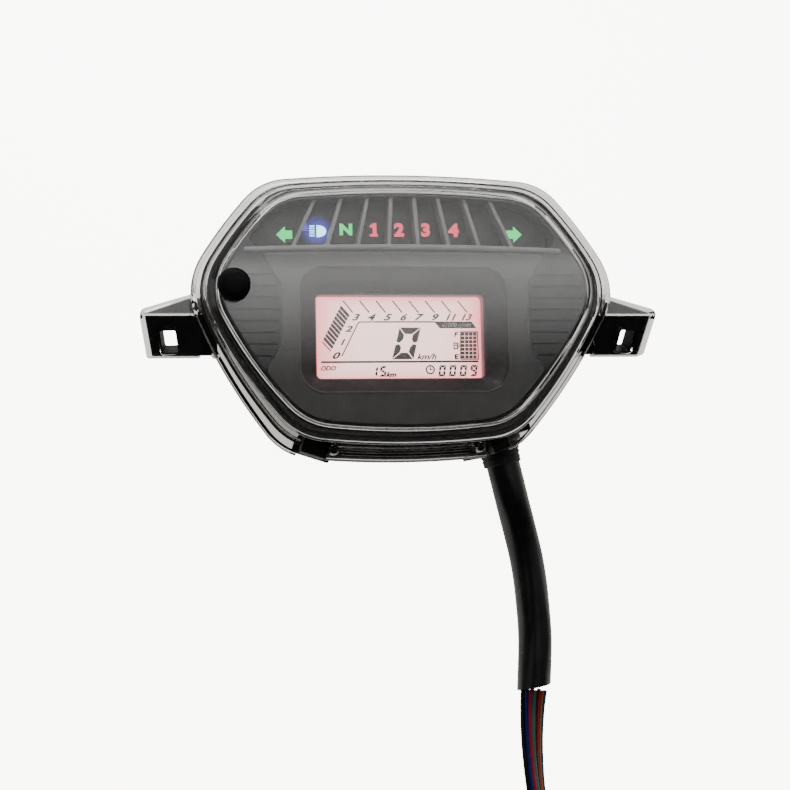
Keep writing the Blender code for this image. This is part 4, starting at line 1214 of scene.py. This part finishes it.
def make_mask():
    rings = [
        ring(outline(1.0, 2.8), MASK_Z),
        ring(outline(1.0, 1.9), MASK_Z),
        ring(outline(1.0, 1.2), MASK_Z - 0.1),
        ring(outline(1.0, 0.5), MASK_Z - 0.45),
        ring(outline(1.0, 0.1), MASK_Z - 0.9),
        ring(outline(LEDGE, 4.2), FLANGE_Z),
        ring(outline(LEDGE, 1.9), FLANGE_Z),
        ring(outline(LEDGE, 1.5), FLANGE_Z - 0.3),
        ring(outline(LEDGE, 1.5), FLANGE_Z - 1.3),
        ring(outline(LEDGE, 4.2), FLANGE_Z - 1.6),
        ring(outline(LEDGE, 4.6), lambda y: housing_edge(y) + GAP),
        ring(outline(LEDGE, 6.6), lambda y: housing_edge(y) + GAP),
        ring(outline(1.0, 3.0), MASK_Z - 2.6),
        ring(outline(1.0, 4.0), MASK_Z - 2.2),
    ]
    mask = loft("mask", rings)
    join(mask, prism("recess_wall", recess_outline(-1.2), FILM_Z + 0.9, MASK_Z - 0.6))
    join(mask, make_frame())
    funnel = [
        ring(rounded_box(BEZEL_CENTRE, BEZEL_SIZE, BEZEL_CORNER), MASK_Z - 0.7),
        ring(rounded_box(DISPLAY_CENTRE, grown(DISPLAY_OPENING, 3.2), 4.0), BEZEL_BOTTOM_Z - 2.0),
        ring(rounded_box(DISPLAY_CENTRE, grown(DISPLAY_OPENING, 3.2), 4.0), GLASS_TOP_Z + GAP),
    ]
    join(mask, loft("funnel_wall", funnel))
    rim = [recess_outline(0.0), recess_outline(0.0), recess_outline(-0.25), recess_outline(-0.6)]
    heights = (FILM_Z - 2.0, MASK_Z - 0.9, MASK_Z - 0.35, MASK_Z + 3.0)
    cut(mask, loft("recess_cut", [ring(p, z) for p, z in zip(rim, heights)]))
    slope = [
        ring(rounded_box(BEZEL_CENTRE, grown(BEZEL_SIZE, 1.4), BEZEL_CORNER + 0.5), MASK_Z + 3.0),
        ring(rounded_box(BEZEL_CENTRE, grown(BEZEL_SIZE, 0.2), BEZEL_CORNER), MASK_Z + 0.1),
        ring(rounded_box(BEZEL_CENTRE, grown(BEZEL_SIZE, -1.2), BEZEL_CORNER - 0.6), MASK_Z - 0.6),
        ring(rounded_box(BEZEL_CENTRE, grown(BEZEL_SIZE, -4.0), BEZEL_CORNER - 1.6), MASK_Z - 1.4),
        ring(rounded_box(DISPLAY_CENTRE, grown(DISPLAY_OPENING, 2.0), 3.4), BEZEL_BOTTOM_Z + 0.4),
        ring(rounded_box(DISPLAY_CENTRE, grown(DISPLAY_OPENING, 0.6), 2.6), BEZEL_BOTTOM_Z - 0.1),
        ring(rounded_box(DISPLAY_CENTRE, DISPLAY_OPENING, 2.2), BEZEL_BOTTOM_Z - 0.8),
        ring(rounded_box(DISPLAY_CENTRE, DISPLAY_OPENING, 2.2), GLASS_TOP_Z - 3.0),
    ]
    cut(mask, loft("display_cut", slope))
    for side in (-1, 1):
        cut(mask, side_grooves(side))
    cut(mask, cylinder("stem_hole", (*BUTTON_XY, MASK_Z - 6.0), 2.6, 12.0))
    resharpen(mask, 30.0)
    dress(mask, DIAL, "dial", "dial_mask")
    mask.data.materials.append(FRAME)
    # The housing's black also serves here as painted shade in the side panels' grooves.
    mask.data.materials.append(BLACK)
    for face in mask.data.polygons:
        place = face.center / MM
        if place.z > MASK_Z + 0.15:
            face.material_index = 1
        # Faces down in the side panels' grooves take the black: painted shade.
        elif abs(place.x) > panel_edge(place.y) and abs(place.y) < 20.0 and in_groove(place.z):
            face.material_index = 2
    return mask


def in_groove(z):
    return MASK_Z - 1.0 < z < MASK_Z - 0.3


def frame_plan(inset):
    """The raised middle of the dial: its flanks follow the side panels' inner edges."""
    right = [(p[0] - inset, p[1] - (inset if i == 0 else 0.0)) for i, p in enumerate(PANEL)]
    top = [(x, 27.4 - inset - 0.5 * (x / 60.0) ** 2) for x in (-40.0, -20.0, 0.0, 20.0, 40.0)]
    edge = [p for p in outline(1.0, 2.1 + inset) if p.y < PANEL[-1][1] - 1.0]
    bottom = [tuple(p) for p in edge[::4]]
    left = [(-x, y) for x, y in reversed(right)]
    return round_off(top + right + bottom + left, 3.0)


def make_frame():
    arc = quarter(5)
    high = 0.75
    rings = [ring(frame_plan(0.0), MASK_Z - 0.6), ring(frame_plan(0.0), MASK_Z)]
    rings += [ring(frame_plan(0.9 * (1 - c)), MASK_Z + high * s) for s, c in arc[1:]]
    return loft("frame_plate", rings)


def side_grooves(side):
    """The fine level grooves of one side panel, as one cutter."""
    bm = bmesh.new()
    rim = outline(1.0, 2.6)
    for i in range(GROOVE_COUNT):
        y = GROOVE_TOP_Y - i * GROOVE_PITCH
        near = [p.x for p in rim if p.x > 0 and abs(p.y - y) < 1.6]
        far_x = min(near) if near else 70.0
        if side < 0 and abs(y - BUTTON_XY[1]) < 4.0:
            far_x = min(far_x, -BUTTON_XY[0] - 4.0)
        near_x = panel_edge(y) + 0.7
        size = (far_x - near_x, GROOVE_WIDTH, 2 * GROOVE_DEPTH, 1.0)
        centre = Vector((side * (far_x + near_x) / 2, y, MASK_Z))
        bmesh.ops.create_cube(bm, size=1.0, matrix=Matrix.Translation(centre) @ Matrix.Diagonal(size))
    return link_mesh(f"grooves_{side}", bm, smooth=False)


def panel_edge(y):
    """Half-width of the raised middle at a height."""
    for (x0, y0), (x1, y1) in zip(PANEL, PANEL[1:]):
        if y1 <= y <= y0:
            return x0 + (x1 - x0) * (y0 - y) / (y0 - y1)
    return PANEL[-1][0] if y < PANEL[-1][1] else PANEL[0][0]


def make_rim_backing():
    """A black bead under the lens's flange, seen through it all the way round: a dark backing that puts
    painted shade into the clear rim.
    """
    section = ((-1.3, -1.48), (-0.2, -1.48), (0.0, -1.9), (-0.3, -2.3), (-1.2, -2.3), (-1.5, -1.9))
    rows = [ring(outline(LEDGE, inset), below_rim(-drop)) for inset, drop in section]
    return dress(loft("rim_dark_backing", rows, closed=True), SEAL, "seal")


def make_skirt_lines():
    """The fine ridges that run round the middle of the skirt's flange, opaque light grey on the clear lens:
    painted highlights.
    """
    pieces = []
    for inset in (1.3, 2.6, 3.9, 5.0):
        plan = [p for p in outline(0.0, inset) if SKIRT_SPAN[0] < p.x < SKIRT_SPAN[1] and p.y < -45.0]
        plan.sort(key=lambda p: p.x)
        rows = []
        for i, p in enumerate(plan):
            end = min(i, len(plan) - 1 - i)
            thick = 0.24 * min(1.0, 0.3 + end / 5.0)
            spot = Vector((p.x, p.y, rim_z(p.y) + 0.42))
            rows.append([spot + Vector((0.0, math.cos(a), math.sin(a))) * thick for a in circle(6)])
        pieces.append(loft(f"skirt_line_{inset}", rows, angle=60.0))
    return dress(merged("skirt_lines", pieces), RIDGE, "lens")


def make_ribs():
    """The ribs between the lamps, in a grey far lighter than the dial's: painted highlight along their tops.
    """
    pieces = []
    for i, (low_x, high_x) in enumerate(RIB_LINES):
        for side in (-1, 1):
            low_y = RECESS_BOTTOM_Y - 1.2
            high_y = 52.6 - 0.7 * i
            reach = (high_y - 31.0) / 19.7
            top_x = low_x + (high_x - low_x) * reach
            half = RIB_WIDTH / 2
            plan = [
                Vector((side * (low_x - half), low_y)),
                Vector((side * (top_x - half), high_y)),
                Vector((side * (top_x + half), high_y)),
                Vector((side * (low_x + half), low_y)),
            ]
            if side < 0:
                plan.reverse()
            arc = quarter(3)
            rings = [ring(plan, FILM_Z + 0.95), ring(plan, MASK_Z - 2.6)]
            rings += [ring(move_inwards(plan, 0.35 * (1 - c)), MASK_Z - 2.25 + 0.25 * s) for s, c in arc[1:]]
            pieces.append(loft(f"rib_{i}_{side}", rings))
    ribs = merged("ribs", pieces)
    return dress(ribs, DIAL_HIGHLIGHT, "dial")


def make_bar():
    """The edge that arches under the indicator recess, in a grey far lighter than the dial's: painted
    highlight.
    """
    steps = 48
    rows = []
    for i in range(steps + 1):
        u = 2.0 * i / steps - 1.0
        x = u * 68.6
        y = RECESS_BOTTOM_Y - 1.5 * u * u - 0.15
        wide = 2.5 - 0.3 * u * u
        section = []
        for k in range(7):
            a = math.pi * k / 6
            across = wide / 2 * math.cos(a)
            section.append(Vector((x, y - wide / 2 + across, MASK_Z - 0.25 + 0.7 * math.sin(a))))
        rows.append(section)
    bar = loft("recess_bar", rows)
    return dress(bar, DIAL_HIGHLIGHT, "dial")


def make_bead():
    """The thin raised line round the display's bezel, lighter than the dial: painted highlight."""

    def plan(across):
        size = grown(BEZEL_SIZE, 1.0 + 0.9 * across)
        return rounded_box(BEZEL_CENTRE, size, BEZEL_CORNER + 0.45 * across, 16)

    dress(bead("bezel_bead", 8, plan, MASK_Z + 0.68, 0.32), DIAL_LINE_HIGHLIGHT, "dial")


def make_panel_lines():
    """The thin raised line between each side panel and the raised middle, lighter than the dial: painted
    highlight.
    """
    pieces = []
    for side in (-1, 1):
        spots = [Vector((side * x, y, MASK_Z + 0.62)) for x, y in PANEL]
        curve = smooth_route(spots, 0.8)
        total = len(curve) - 1
        rows = []
        for i, (p, across, up) in enumerate(frames(curve)):
            thick = 0.34 * min(1.0, 0.25 + 5.0 * i / total, 0.25 + 5.0 * (total - i) / total)
            rows.append([p + across * math.cos(a) * thick + up * math.sin(a) * thick for a in circle(8)])
        pieces.append(loft(f"panel_line_{side}", rows, angle=60.0))
    return dress(merged("panel_lines", pieces), DIAL_LINE_HIGHLIGHT, "dial")


PAD_SPANS = [(-29.0, -18.3), (-15.6, -6.4), (-4.2, 4.6), (7.7, 16.2), (18.9, 29.6), (33.0, 43.3)]


def make_film():
    film = soft_prism("film", recess_outline(0.6), FILM_Z + 0.1, FILM_Z + 0.6, 0.1)
    dress(film, FILM, "film", "indicator_film")
    top = FILM_Z + 0.62
    pads = []
    for i, (x0, x1) in enumerate(PAD_SPANS):
        slant = (x0 + x1) / 2 * 0.013
        corners = [(x0 - slant, 33.0), (x0 + slant, 46.2), (x1 + slant, 46.2), (x1 - slant, 33.0)]
        pads.append(prism(f"pad_{i}", round_off(corners, 1.2), top - 0.05, top + 0.03))
    for side in (-1, 1):
        ellipse = []
        for a in circle(40):
            ellipse.append(Vector((side * 50.8 + 8.6 * math.cos(-a), 38.6 + 6.0 * math.sin(-a))))
        pads.append(prism(f"pad_round_{side}", ellipse, top - 0.05, top + 0.03))
    dress(merged("film_pads", pads), PAD, "film")


# ------------------------------------------------------------------ lit symbols


def plate(name, points, z, thick=0.06):
    return prism(name, [Vector(p) for p in points], z, z + thick)


def glowing(name, colour, strength, base=(0.05, 0.05, 0.05)):
    made = Shader(name, base, 0.4)
    made.glow(colour, strength)
    made.mottle(900.0, 0.1)
    return made.material


def lettering(name, text, centre, height, z, shear=0.0, weight=0.0, stretch=1.0):
    """Generic lettering as a thin plate, made from the built-in typeface."""
    curve = bpy.data.curves.new(name, "FONT")
    curve.body = text
    curve.size = 1.0
    curve.shear = shear
    curve.offset = weight
    curve.align_x = "LEFT"
    curve.resolution_u = 4
    curve.extrude = 0.02
    item = bpy.data.objects.new(name + "_text", curve)
    bpy.context.scene.collection.objects.link(item)
    graph = bpy.context.evaluated_depsgraph_get()
    mesh = bpy.data.meshes.new_from_object(item.evaluated_get(graph), depsgraph=graph)
    bpy.data.objects.remove(item, do_unlink=True)
    xs = [v.co.x for v in mesh.vertices]
    ys = [v.co.y for v in mesh.vertices]
    grow = height / (max(ys) - min(ys))
    middle = Vector(((max(xs) + min(xs)) / 2, (max(ys) + min(ys)) / 2, 0.0))
    for v in mesh.vertices:
        p = v.co - middle
        level = 0.0 if p.z < 0 else 0.05
        v.co = Vector((centre[0] + p.x * grow * stretch, centre[1] + p.y * grow, z + level)) * MM
    out = bpy.data.objects.new(name, mesh)
    bpy.context.scene.collection.objects.link(out)
    return out


def make_symbols():
    z = FILM_Z + 0.7
    green = glowing("lamp_green", (0.0, 1.0, 0.20), 1.5)
    red = glowing("lamp_red", (1.0, 0.07, 0.13), 1.7)
    blue = glowing("lamp_blue", (0.25, 0.5, 1.0), 3.4)
    pale = glowing("lamp_pale", (0.30, 0.80, 1.0), 4.0)
    for name, side, y in (("arrow_left", -1, 36.6), ("arrow_right", 1, 37.35)):
        tip, neck, tail = 54.1, 50.3, 47.2
        points = [(tip, y), (neck, y + 3.6), (neck, y + 1.8), (tail, y + 1.8)]
        points += [(tail, y - 1.8), (neck, y - 1.8), (neck, y - 3.6)]
        points = [(side * x, py) for x, py in points]
        dress(plate(name, points, z), green, "film")
    dress(lettering("neutral_letter", "N", (-23.8, 39.05), 5.1, z, weight=0.05, stretch=1.15), green, "film")
    one = [(-11.35, 42.0), (-10.45, 42.0), (-10.45, 37.1), (-9.9, 37.1), (-9.9, 36.1), (-13.3, 36.1)]
    one += [(-13.3, 37.1), (-12.1, 37.1), (-12.1, 40.2), (-13.3, 39.9), (-13.3, 41.0)]
    dress(plate("gear_number_1", one, z), red, "film")
    for text, x, tall in (("2", -0.5, 6.0), ("3", 11.2, 6.0), ("4", 23.6, 6.0)):
        name = f"gear_number_{text}"
        dress(lettering(name, text, (x, 39.1), tall, z, weight=0.055, stretch=1.1), red, "film")
    lamp = []
    for i in range(21):
        a = math.pi / 2 - math.pi * i / 20
        lamp.append((-36.6 + 4.2 * max(0.0, math.cos(a)) ** 0.8, 38.2 + 2.6 * math.sin(a)))
    dress(plate("beam_lamp", lamp, z), pale, "film")
    lines = []
    for i in range(5):
        y = 40.3 - i * 1.05
        corners = [(-39.7, y - 0.1), (-39.7, y + 0.38), (-37.5, y + 0.38), (-37.5, y - 0.1)]
        lines.append(plate(f"beam_{i}", corners, z))
    dress(merged("beam_lines", lines), pale, "film")
    dress(beam_halo(z - 0.05), halo_shader(), "film")
    # A glowing plate on the film by the rib's wall: painted reflection of the blue lamp.
    glint = plate("beam_glint", [(-42.6, 38.2), (-40.0, 38.4), (-41.0, 42.2), (-42.4, 41.6)], z + 0.02, 0.03)
    dress(glint, glowing("lamp_glint", (0.10, 0.09, 1.0), 0.9), "film")


def beam_halo(z):
    """The cell round the high-beam lamp, which its light spreads over."""
    corners = [(-45.4, 32.6), (-38.4, 46.8), (-28.8, 46.8), (-32.2, 32.6)]
    return plate("beam_halo", round_off(corners, 1.0), z, 0.03)


def halo_shader():
    """Blue light that fades away from the lamp."""
    made = Shader("lamp_halo", (0.013, 0.0135, 0.016), 0.4)
    coords = made.node("ShaderNodeTexCoord")
    away = made.node("ShaderNodeVectorMath", operation="DISTANCE")
    away.inputs[1].default_value = (-36.3 * MM, 38.2 * MM, (FILM_Z + 0.65) * MM)
    made.link(coords.outputs["Object"], away.inputs[0])
    share = made.spread(away.outputs["Value"], 1.0, 0.0, 1.0 * MM, 8.0 * MM)
    ramp = made.mix(share, (0.0, 0.0, 0.0), (0.10, 0.09, 0.95), "Emission Color")
    ramp.color_ramp.interpolation = "EASE"
    made.set("Emission Strength", 0.8)
    made.grain(3200.0, 0.00001, 0.5)
    return made.material


# ------------------------------------------------------------------ display

SEGMENTS = {
    "0": "abcdef",
    "1": "bc",
    "5": "acdfg",
    "9": "abcdfg",
}


def digit(name, value, centre, size, width, slant, z, gap=0.25):
    """Seven-segment digit plates. size is (wide, high), and width is a stroke's width."""
    w, h = size[0] / 2, size[1] / 2
    t = width
    bars = {
        "a": [(-w, h), (w, h), (w - t, h - t), (-w + t, h - t)],
        "d": [(-w + t, -h + t), (w - t, -h + t), (w, -h), (-w, -h)],
        "b": [(w, h), (w, t * 0.15), (w - t * 0.55, 0.0), (w - t, t * 0.5), (w - t, h - t)],
        "c": [(w - t, -h + t), (w - t, -t * 0.5), (w - t * 0.55, 0.0), (w, -t * 0.15), (w, -h)],
        "f": [(-w, h), (-w + t, h - t), (-w + t, t * 0.5), (-w + t * 0.55, 0.0), (-w, t * 0.15)],
        "e": [(-w, -h), (-w, -t * 0.15), (-w + t * 0.55, 0.0), (-w + t, -t * 0.5), (-w + t, -h + t)],
        "g": [(-w + t * 0.6, 0.0), (-w + t, t / 2), (w - t, t / 2)],
    }
    bars["g"] += [(-x, -y) for x, y in bars["g"]]
    pieces = []
    for key in SEGMENTS[value]:
        middle = sum((Vector(p) for p in bars[key]), Vector((0, 0))) / len(bars[key])
        points = []
        for p in bars[key]:
            p = Vector(p)
            away = p - middle
            p = middle + away * max(0.0, 1 - gap / max(away.length, 0.01))
            points.append((centre[0] + p.x + p.y * slant, centre[1] + p.y))
        pieces.append(plate(f"{name}_{key}", points, z, 0.05))
    return pieces


def stroke(name, points, width, z):
    """A plate along a line of points, with mitred bends."""
    spots = [Vector(p) for p in points]
    left, right = [], []
    for i, p in enumerate(spots):
        before = (p - spots[i - 1]).normalized() if i else None
        after = (spots[i + 1] - p).normalized() if i < len(spots) - 1 else None
        along = ((before or after) + (after or before)).normalized()
        across = Vector((-along.y, along.x))
        bend = abs(along.dot(after or before))
        left.append(p + across * width / 2 / max(bend, 0.4))
        right.append(p - across * width / 2 / max(bend, 0.4))
    return plate(name, [tuple(p) for p in left + list(reversed(right))], z, 0.05)


def make_display():
    x, y = DISPLAY_CENTRE
    glass = soft_prism("display_glass", rounded_box((x, y), (78.0, 41.0), 0.8, 3), 36.2, GLASS_TOP_Z, 0.15)
    shader = display_shader((x * MM, y * MM), (37.4 * MM, 18.6 * MM))
    dress(glass, shader, "display", "lcd_glass")
    top, bottom = BEZEL_BOTTOM_Z - 0.9, GLASS_TOP_Z + 0.04
    walls = []
    for inset, z in ((-0.02, top), (0.22, top - 0.1), (0.25, bottom), (-0.02, bottom)):
        walls.append(ring(rounded_box((x, y), grown(DISPLAY_OPENING, -2 * inset), 2.2 - max(0.0, inset)), z))
    surround = loft("display_surround", walls, closed=True)
    dress(surround, surround_shader(GLASS_TOP_Z * MM, (BEZEL_BOTTOM_Z - 1.5) * MM), "display")
    z = GLASS_TOP_Z + 0.02
    tones = {"dark": (0.035, 0.032, 0.035), "grey": (0.105, 0.098, 0.10), "rose": (0.55, 0.16, 0.19)}
    tones["light"] = (0.62, 0.55, 0.56)
    inks = {key: moulded(f"segment_{key}", tone, 0.4, 0.000002, 3000.0, 0.03) for key, tone in tones.items()}
    show_scale(z, inks["grey"], inks["rose"])
    show_bars(z, inks["dark"], inks["grey"])
    show_readings(z, inks["dark"], inks["grey"])
    show_label(z, inks["grey"], inks["light"])
    show_fuel(z, inks["dark"], inks["grey"])


def show_scale(z, grey, rose):
    """The slanted marks along the top and their numbers."""
    texts = ["3", "4", "5", "6", "7", "9", "11", "13"]
    marks, red_marks, numbers, red_numbers = [], [], [], []
    for i, text in enumerate(texts):
        x = -25.5 + 7.2 * i
        marks_here = red_marks if i > 5 else marks
        numbers_here = red_numbers if i > 5 else numbers
        marks_here.append(stroke(f"mark_{i}", [(x, 8.0), (x + 4.15, 2.8)], 0.56, z))
        at = (-20.0 + 6.97 * i, 0.85)
        wide = 1.45 if len(text) == 1 else 1.25
        name = f"number_{text}"
        numbers_here.append(lettering(name, text, at, 2.95, z, shear=0.42, stretch=wide, weight=0.034))
    dress(merged("scale_marks", marks), grey, "display")
    dress(merged("scale_numbers", numbers), grey, "display")
    dress(merged("scale_red_marks", red_marks), rose, "display")
    dress(merged("scale_red_numbers", red_numbers), rose, "display")
    low = [("2", (-23.2, -4.2), 2.7, 1.5), ("1", (-25.8, -10.0), 2.7, 1.3), ("0", (-28.7, -15.8), 3.0, 1.5)]
    pieces = []
    for text, at, tall, wide in low:
        pieces.append(lettering(f"low_{text}", text, at, tall, z, shear=0.4, stretch=wide, weight=0.036))
    dress(merged("low_numbers", pieces), grey, "display")


def show_bars(z, dark, grey):
    """The slanted band of bars at the left, the frame line and the line under the readings."""
    start, end = Vector((-34.9, -9.7)), Vector((-26.8, 5.4))
    across = Vector((3.75, -4.25))
    bars = []
    count = 10
    for i in range(count):
        a = start.lerp(end, (i + 0.60) / count)
        b = start.lerp(end, (i + 1.40) / count)
        bars.append(plate(f"bar_{i}", [a, b, b + across, a + across], z, 0.05))
    dress(merged("level_bars", bars), grey, "display")
    thin = [stroke("bar_start", [start, start + across], 0.5, z)]
    thin.append(stroke("bottom_line", [(-35.5, -18.65), (33.5, -18.55)], 0.8, z))
    flank = [(-26.5, -16.2), (-19.4, -2.2), (-18.9, -1.5), (-17.8, -1.25), (-12.0, -1.2)]
    thin.append(stroke("frame_flank", flank, 0.5, z))
    dress(merged("dark_lines", thin), dark, "display")
    dress(stroke("frame_top", [(-12.0, -1.2), (14.6, -1.2)], 0.6, z), grey, "display")


def show_readings(z, dark, grey):
    big = digit("speed", "0", (1.85, -10.6), (9.6, 14.0), 3.1, 0.26, z, 0.3)
    dress(merged("speed_digit", big), grey, "display")
    for name, text, at, tall, shear, stretch, weight in (
        ("speed_unit", "km/h", (10.7, -16.35), 2.6, 0.35, 1.2, 0.024),
        ("distance_name", "ODO", (-32.3, -21.3), 2.0, 0.3, 1.05, 0.035),
        ("distance_unit", "km", (-5.1, -24.1), 2.1, 0.35, 1.25, 0.045),
    ):
        dress(lettering(name, text, at, tall, z, shear, weight, stretch), dark, "display")
    small = digit("distance_1", "1", (-12.4, -22.75), (2.9, 4.6), 1.05, 0.16, z, 0.1)
    small += digit("distance_5", "5", (-8.6, -22.75), (2.9, 4.6), 1.05, 0.16, z, 0.1)
    for i, value in enumerate("0009"):
        at = (17.35 + 4.65 * i, -22.6)
        small += digit(f"clock_{i}", value, at, (3.0, 4.9), 1.05, 0.14, z, 0.1)
    dress(merged("small_digits", small), dark, "display")
    turn = circle(40) + [2 * math.pi]
    face = [(12.1 + 1.75 * math.cos(a), -22.1 + 1.75 * math.sin(a)) for a in turn]
    clock = [stroke("clock_ring", face, 0.6, z)]
    clock.append(stroke("clock_hands", [(12.1, -20.8), (12.1, -22.1), (13.2, -22.1)], 0.5, z))
    dress(merged("clock_symbol", clock), dark, "display")


def show_label(z, grey, light):
    label = plate("unit_label", [(14.2, -1.05), (30.8, -1.05), (33.0, -4.0), (16.7, -4.0)], z, 0.05)
    dress(label, grey, "display")
    text = lettering("unit_text", "x1000 r/min", (23.9, -2.5), 1.85, z + 0.05, 0.3, 0.02, 1.05)
    dress(text, light, "display")


def show_fuel(z, dark, grey):
    body = [(22.8, -13.0), (22.8, -10.5), (24.3, -10.5), (24.3, -13.0), (22.6, -13.0)]
    pieces = [
        lettering("full_letter", "F", (23.9, -6.7), 2.1, z, shear=0.15, stretch=1.25, weight=0.04),
        lettering("empty_letter", "E", (23.9, -16.5), 2.3, z, stretch=1.2, weight=0.05),
        stroke("pump_body", body, 0.5, z),
        stroke("pump_gauge", [(23.1, -11.5), (24.1, -11.5)], 0.45, z),
        stroke("pump_hose", [(24.3, -12.2), (25.1, -12.2), (25.1, -11.0), (24.7, -10.6)], 0.36, z),
    ]
    dress(merged("fuel_symbols", pieces), dark, "display")
    cells = []
    for row in range(7):
        for column in range(4):
            cx = 26.75 + 1.78 * column - 0.02 * row
            cy = -6.6 - 1.66 * row
            corners = [(cx + i * 0.78, cy + k * 0.7) for i, k in ((-1, -1), (-1, 1), (1, 1), (1, -1))]
            cells.append(plate(f"cell_{row}_{column}", corners, z, 0.05))
    around = [(25.6, -17.5), (25.9, -5.6), (33.3, -5.6), (33.5, -17.6), (25.6, -17.6)]
    edge = stroke("gauge_edge", around, 0.5, z)
    dress(merged("fuel_cells", cells + [edge]), grey, "display")


# ------------------------------------------------------------------ button, seal, screws and inner pieces


BUTTON_LIFT = 1.3


def make_button():
    """The rubber cap: domed, with a fine groove round its top."""
    at = (*BUTTON_XY, 0.0)
    low = WINDOW_Z + BUTTON_LIFT
    profile = [(0.0, low + 3.38), (1.2, low + 3.37), (2.6, low + 3.26), (3.9, low + 3.0), (5.0, low + 2.6)]
    profile += [(5.9, low + 2.1), (6.5, low + 1.55), (6.85, low + 1.0), (6.98, low + 0.6), (6.9, low + 0.15)]
    profile += [(6.6, low), (2.6, low), (2.4, low + 1.5), (0.0, low + 1.5)]
    cap = turned("button_cap", profile, at, 96)

    def plan(across):
        reach = 4.3 + 0.16 * across
        return [Vector(BUTTON_XY) + Vector((math.cos(-t), math.sin(-t))) * reach for t in circle(64)]

    cut(cap, bead("button_groove", 8, plan, low + 2.95, 0.22))
    resharpen(cap, 50.0)
    dress(cap, RUBBER, "button", "reset_button_cap", body="reset_button")


def make_seal():
    seal = bead("seal_bead", 10, lambda across: outline(LEDGE, 4.35 + 0.5 * across), 50.4, 0.65)
    dress(seal, SEAL, "seal", "perimeter_seal")


SCREW_SEAT_Z = 17.7


def make_screws():
    """Pan-head screws with a crossed recess, down the towers at the back."""
    seat = SCREW_SEAT_Z
    for i, (x, y) in enumerate(HOUSING_SCREWS):
        profile = [(0.0, -2.0), (1.6, -1.95), (2.6, -1.65), (3.1, -1.15), (3.2, -0.7), (3.2, -0.05)]
        profile += [(1.2, 0.0), (1.2, 12.6), (0.0, 14.0)]
        screw = turned(f"rear_screw_{i + 1}", list(reversed(profile)), (x, y, seat), 40)
        for k in range(2):
            turn = Matrix.Rotation(math.radians(45.0 + 90.0 * k + 17.0 * i), 3, "Z")
            low, high = (x - 1.8, y - 0.35, seat - 3.0), (x + 1.8, y + 0.35, seat - 0.9)
            cut(screw, box("slot", low, high, turn=turn))
        resharpen(screw)
        dress(screw, STEEL, "steel", f"housing_screw_{i + 1}")


def make_breather():
    profile = [(0.0, 0.9), (6.2, 0.9), (6.6, 0.7), (6.6, 0.4), (6.5, 0.3), (0.0, 0.3)]
    disc = turned("vent_disc", profile, (0.0, 20.0, 0.0))
    for a in circle(12):
        at = (4.2 * math.cos(a), 20.0 + 4.2 * math.sin(a), 0.0)
        cut(disc, cylinder("vent", at, 0.5, 0.55, sides=12))
    resharpen(disc)
    dress(disc, WHITE, "light_guide", "breather_disc")


def dress_inner():
    """Gives the CAD nodes that stay their own finishes."""
    white = "light_box lcd_holder backlight_diffuser backlight_reflector harness_header harness_plug"
    groups = [
        (WHITE, white + " reset_button_stem"),
        (SEAL, "zebra_strip_upper zebra_strip_lower"),
        (BOARD, "circuit_board"),
        (CHIP, "microcontroller display_driver voltage_regulator tact_switch_body tact_plunger"),
        (CHIP, "electrolytic_capacitor_1 electrolytic_capacitor_2"),
        (STEEL, "crystal button_spring"),
    ]
    looks = {name: shader for shader, names in groups for name in names.split()}
    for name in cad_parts:
        if name.endswith("_led") or name.startswith("backlight_led"):
            looks[name] = LED
        if name.startswith("board_screw"):
            looks[name] = STEEL
    for name, shader in looks.items():
        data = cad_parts[name].data
        data.materials.clear()
        data.materials.append(shader)


make_lens()
make_housing()
make_mask()
make_ribs()
make_bar()
make_bead()
make_panel_lines()
make_skirt_lines()
make_rim_backing()
make_film()
make_symbols()
make_display()
make_button()
make_seal()
make_screws()
make_breather()
dress_inner()
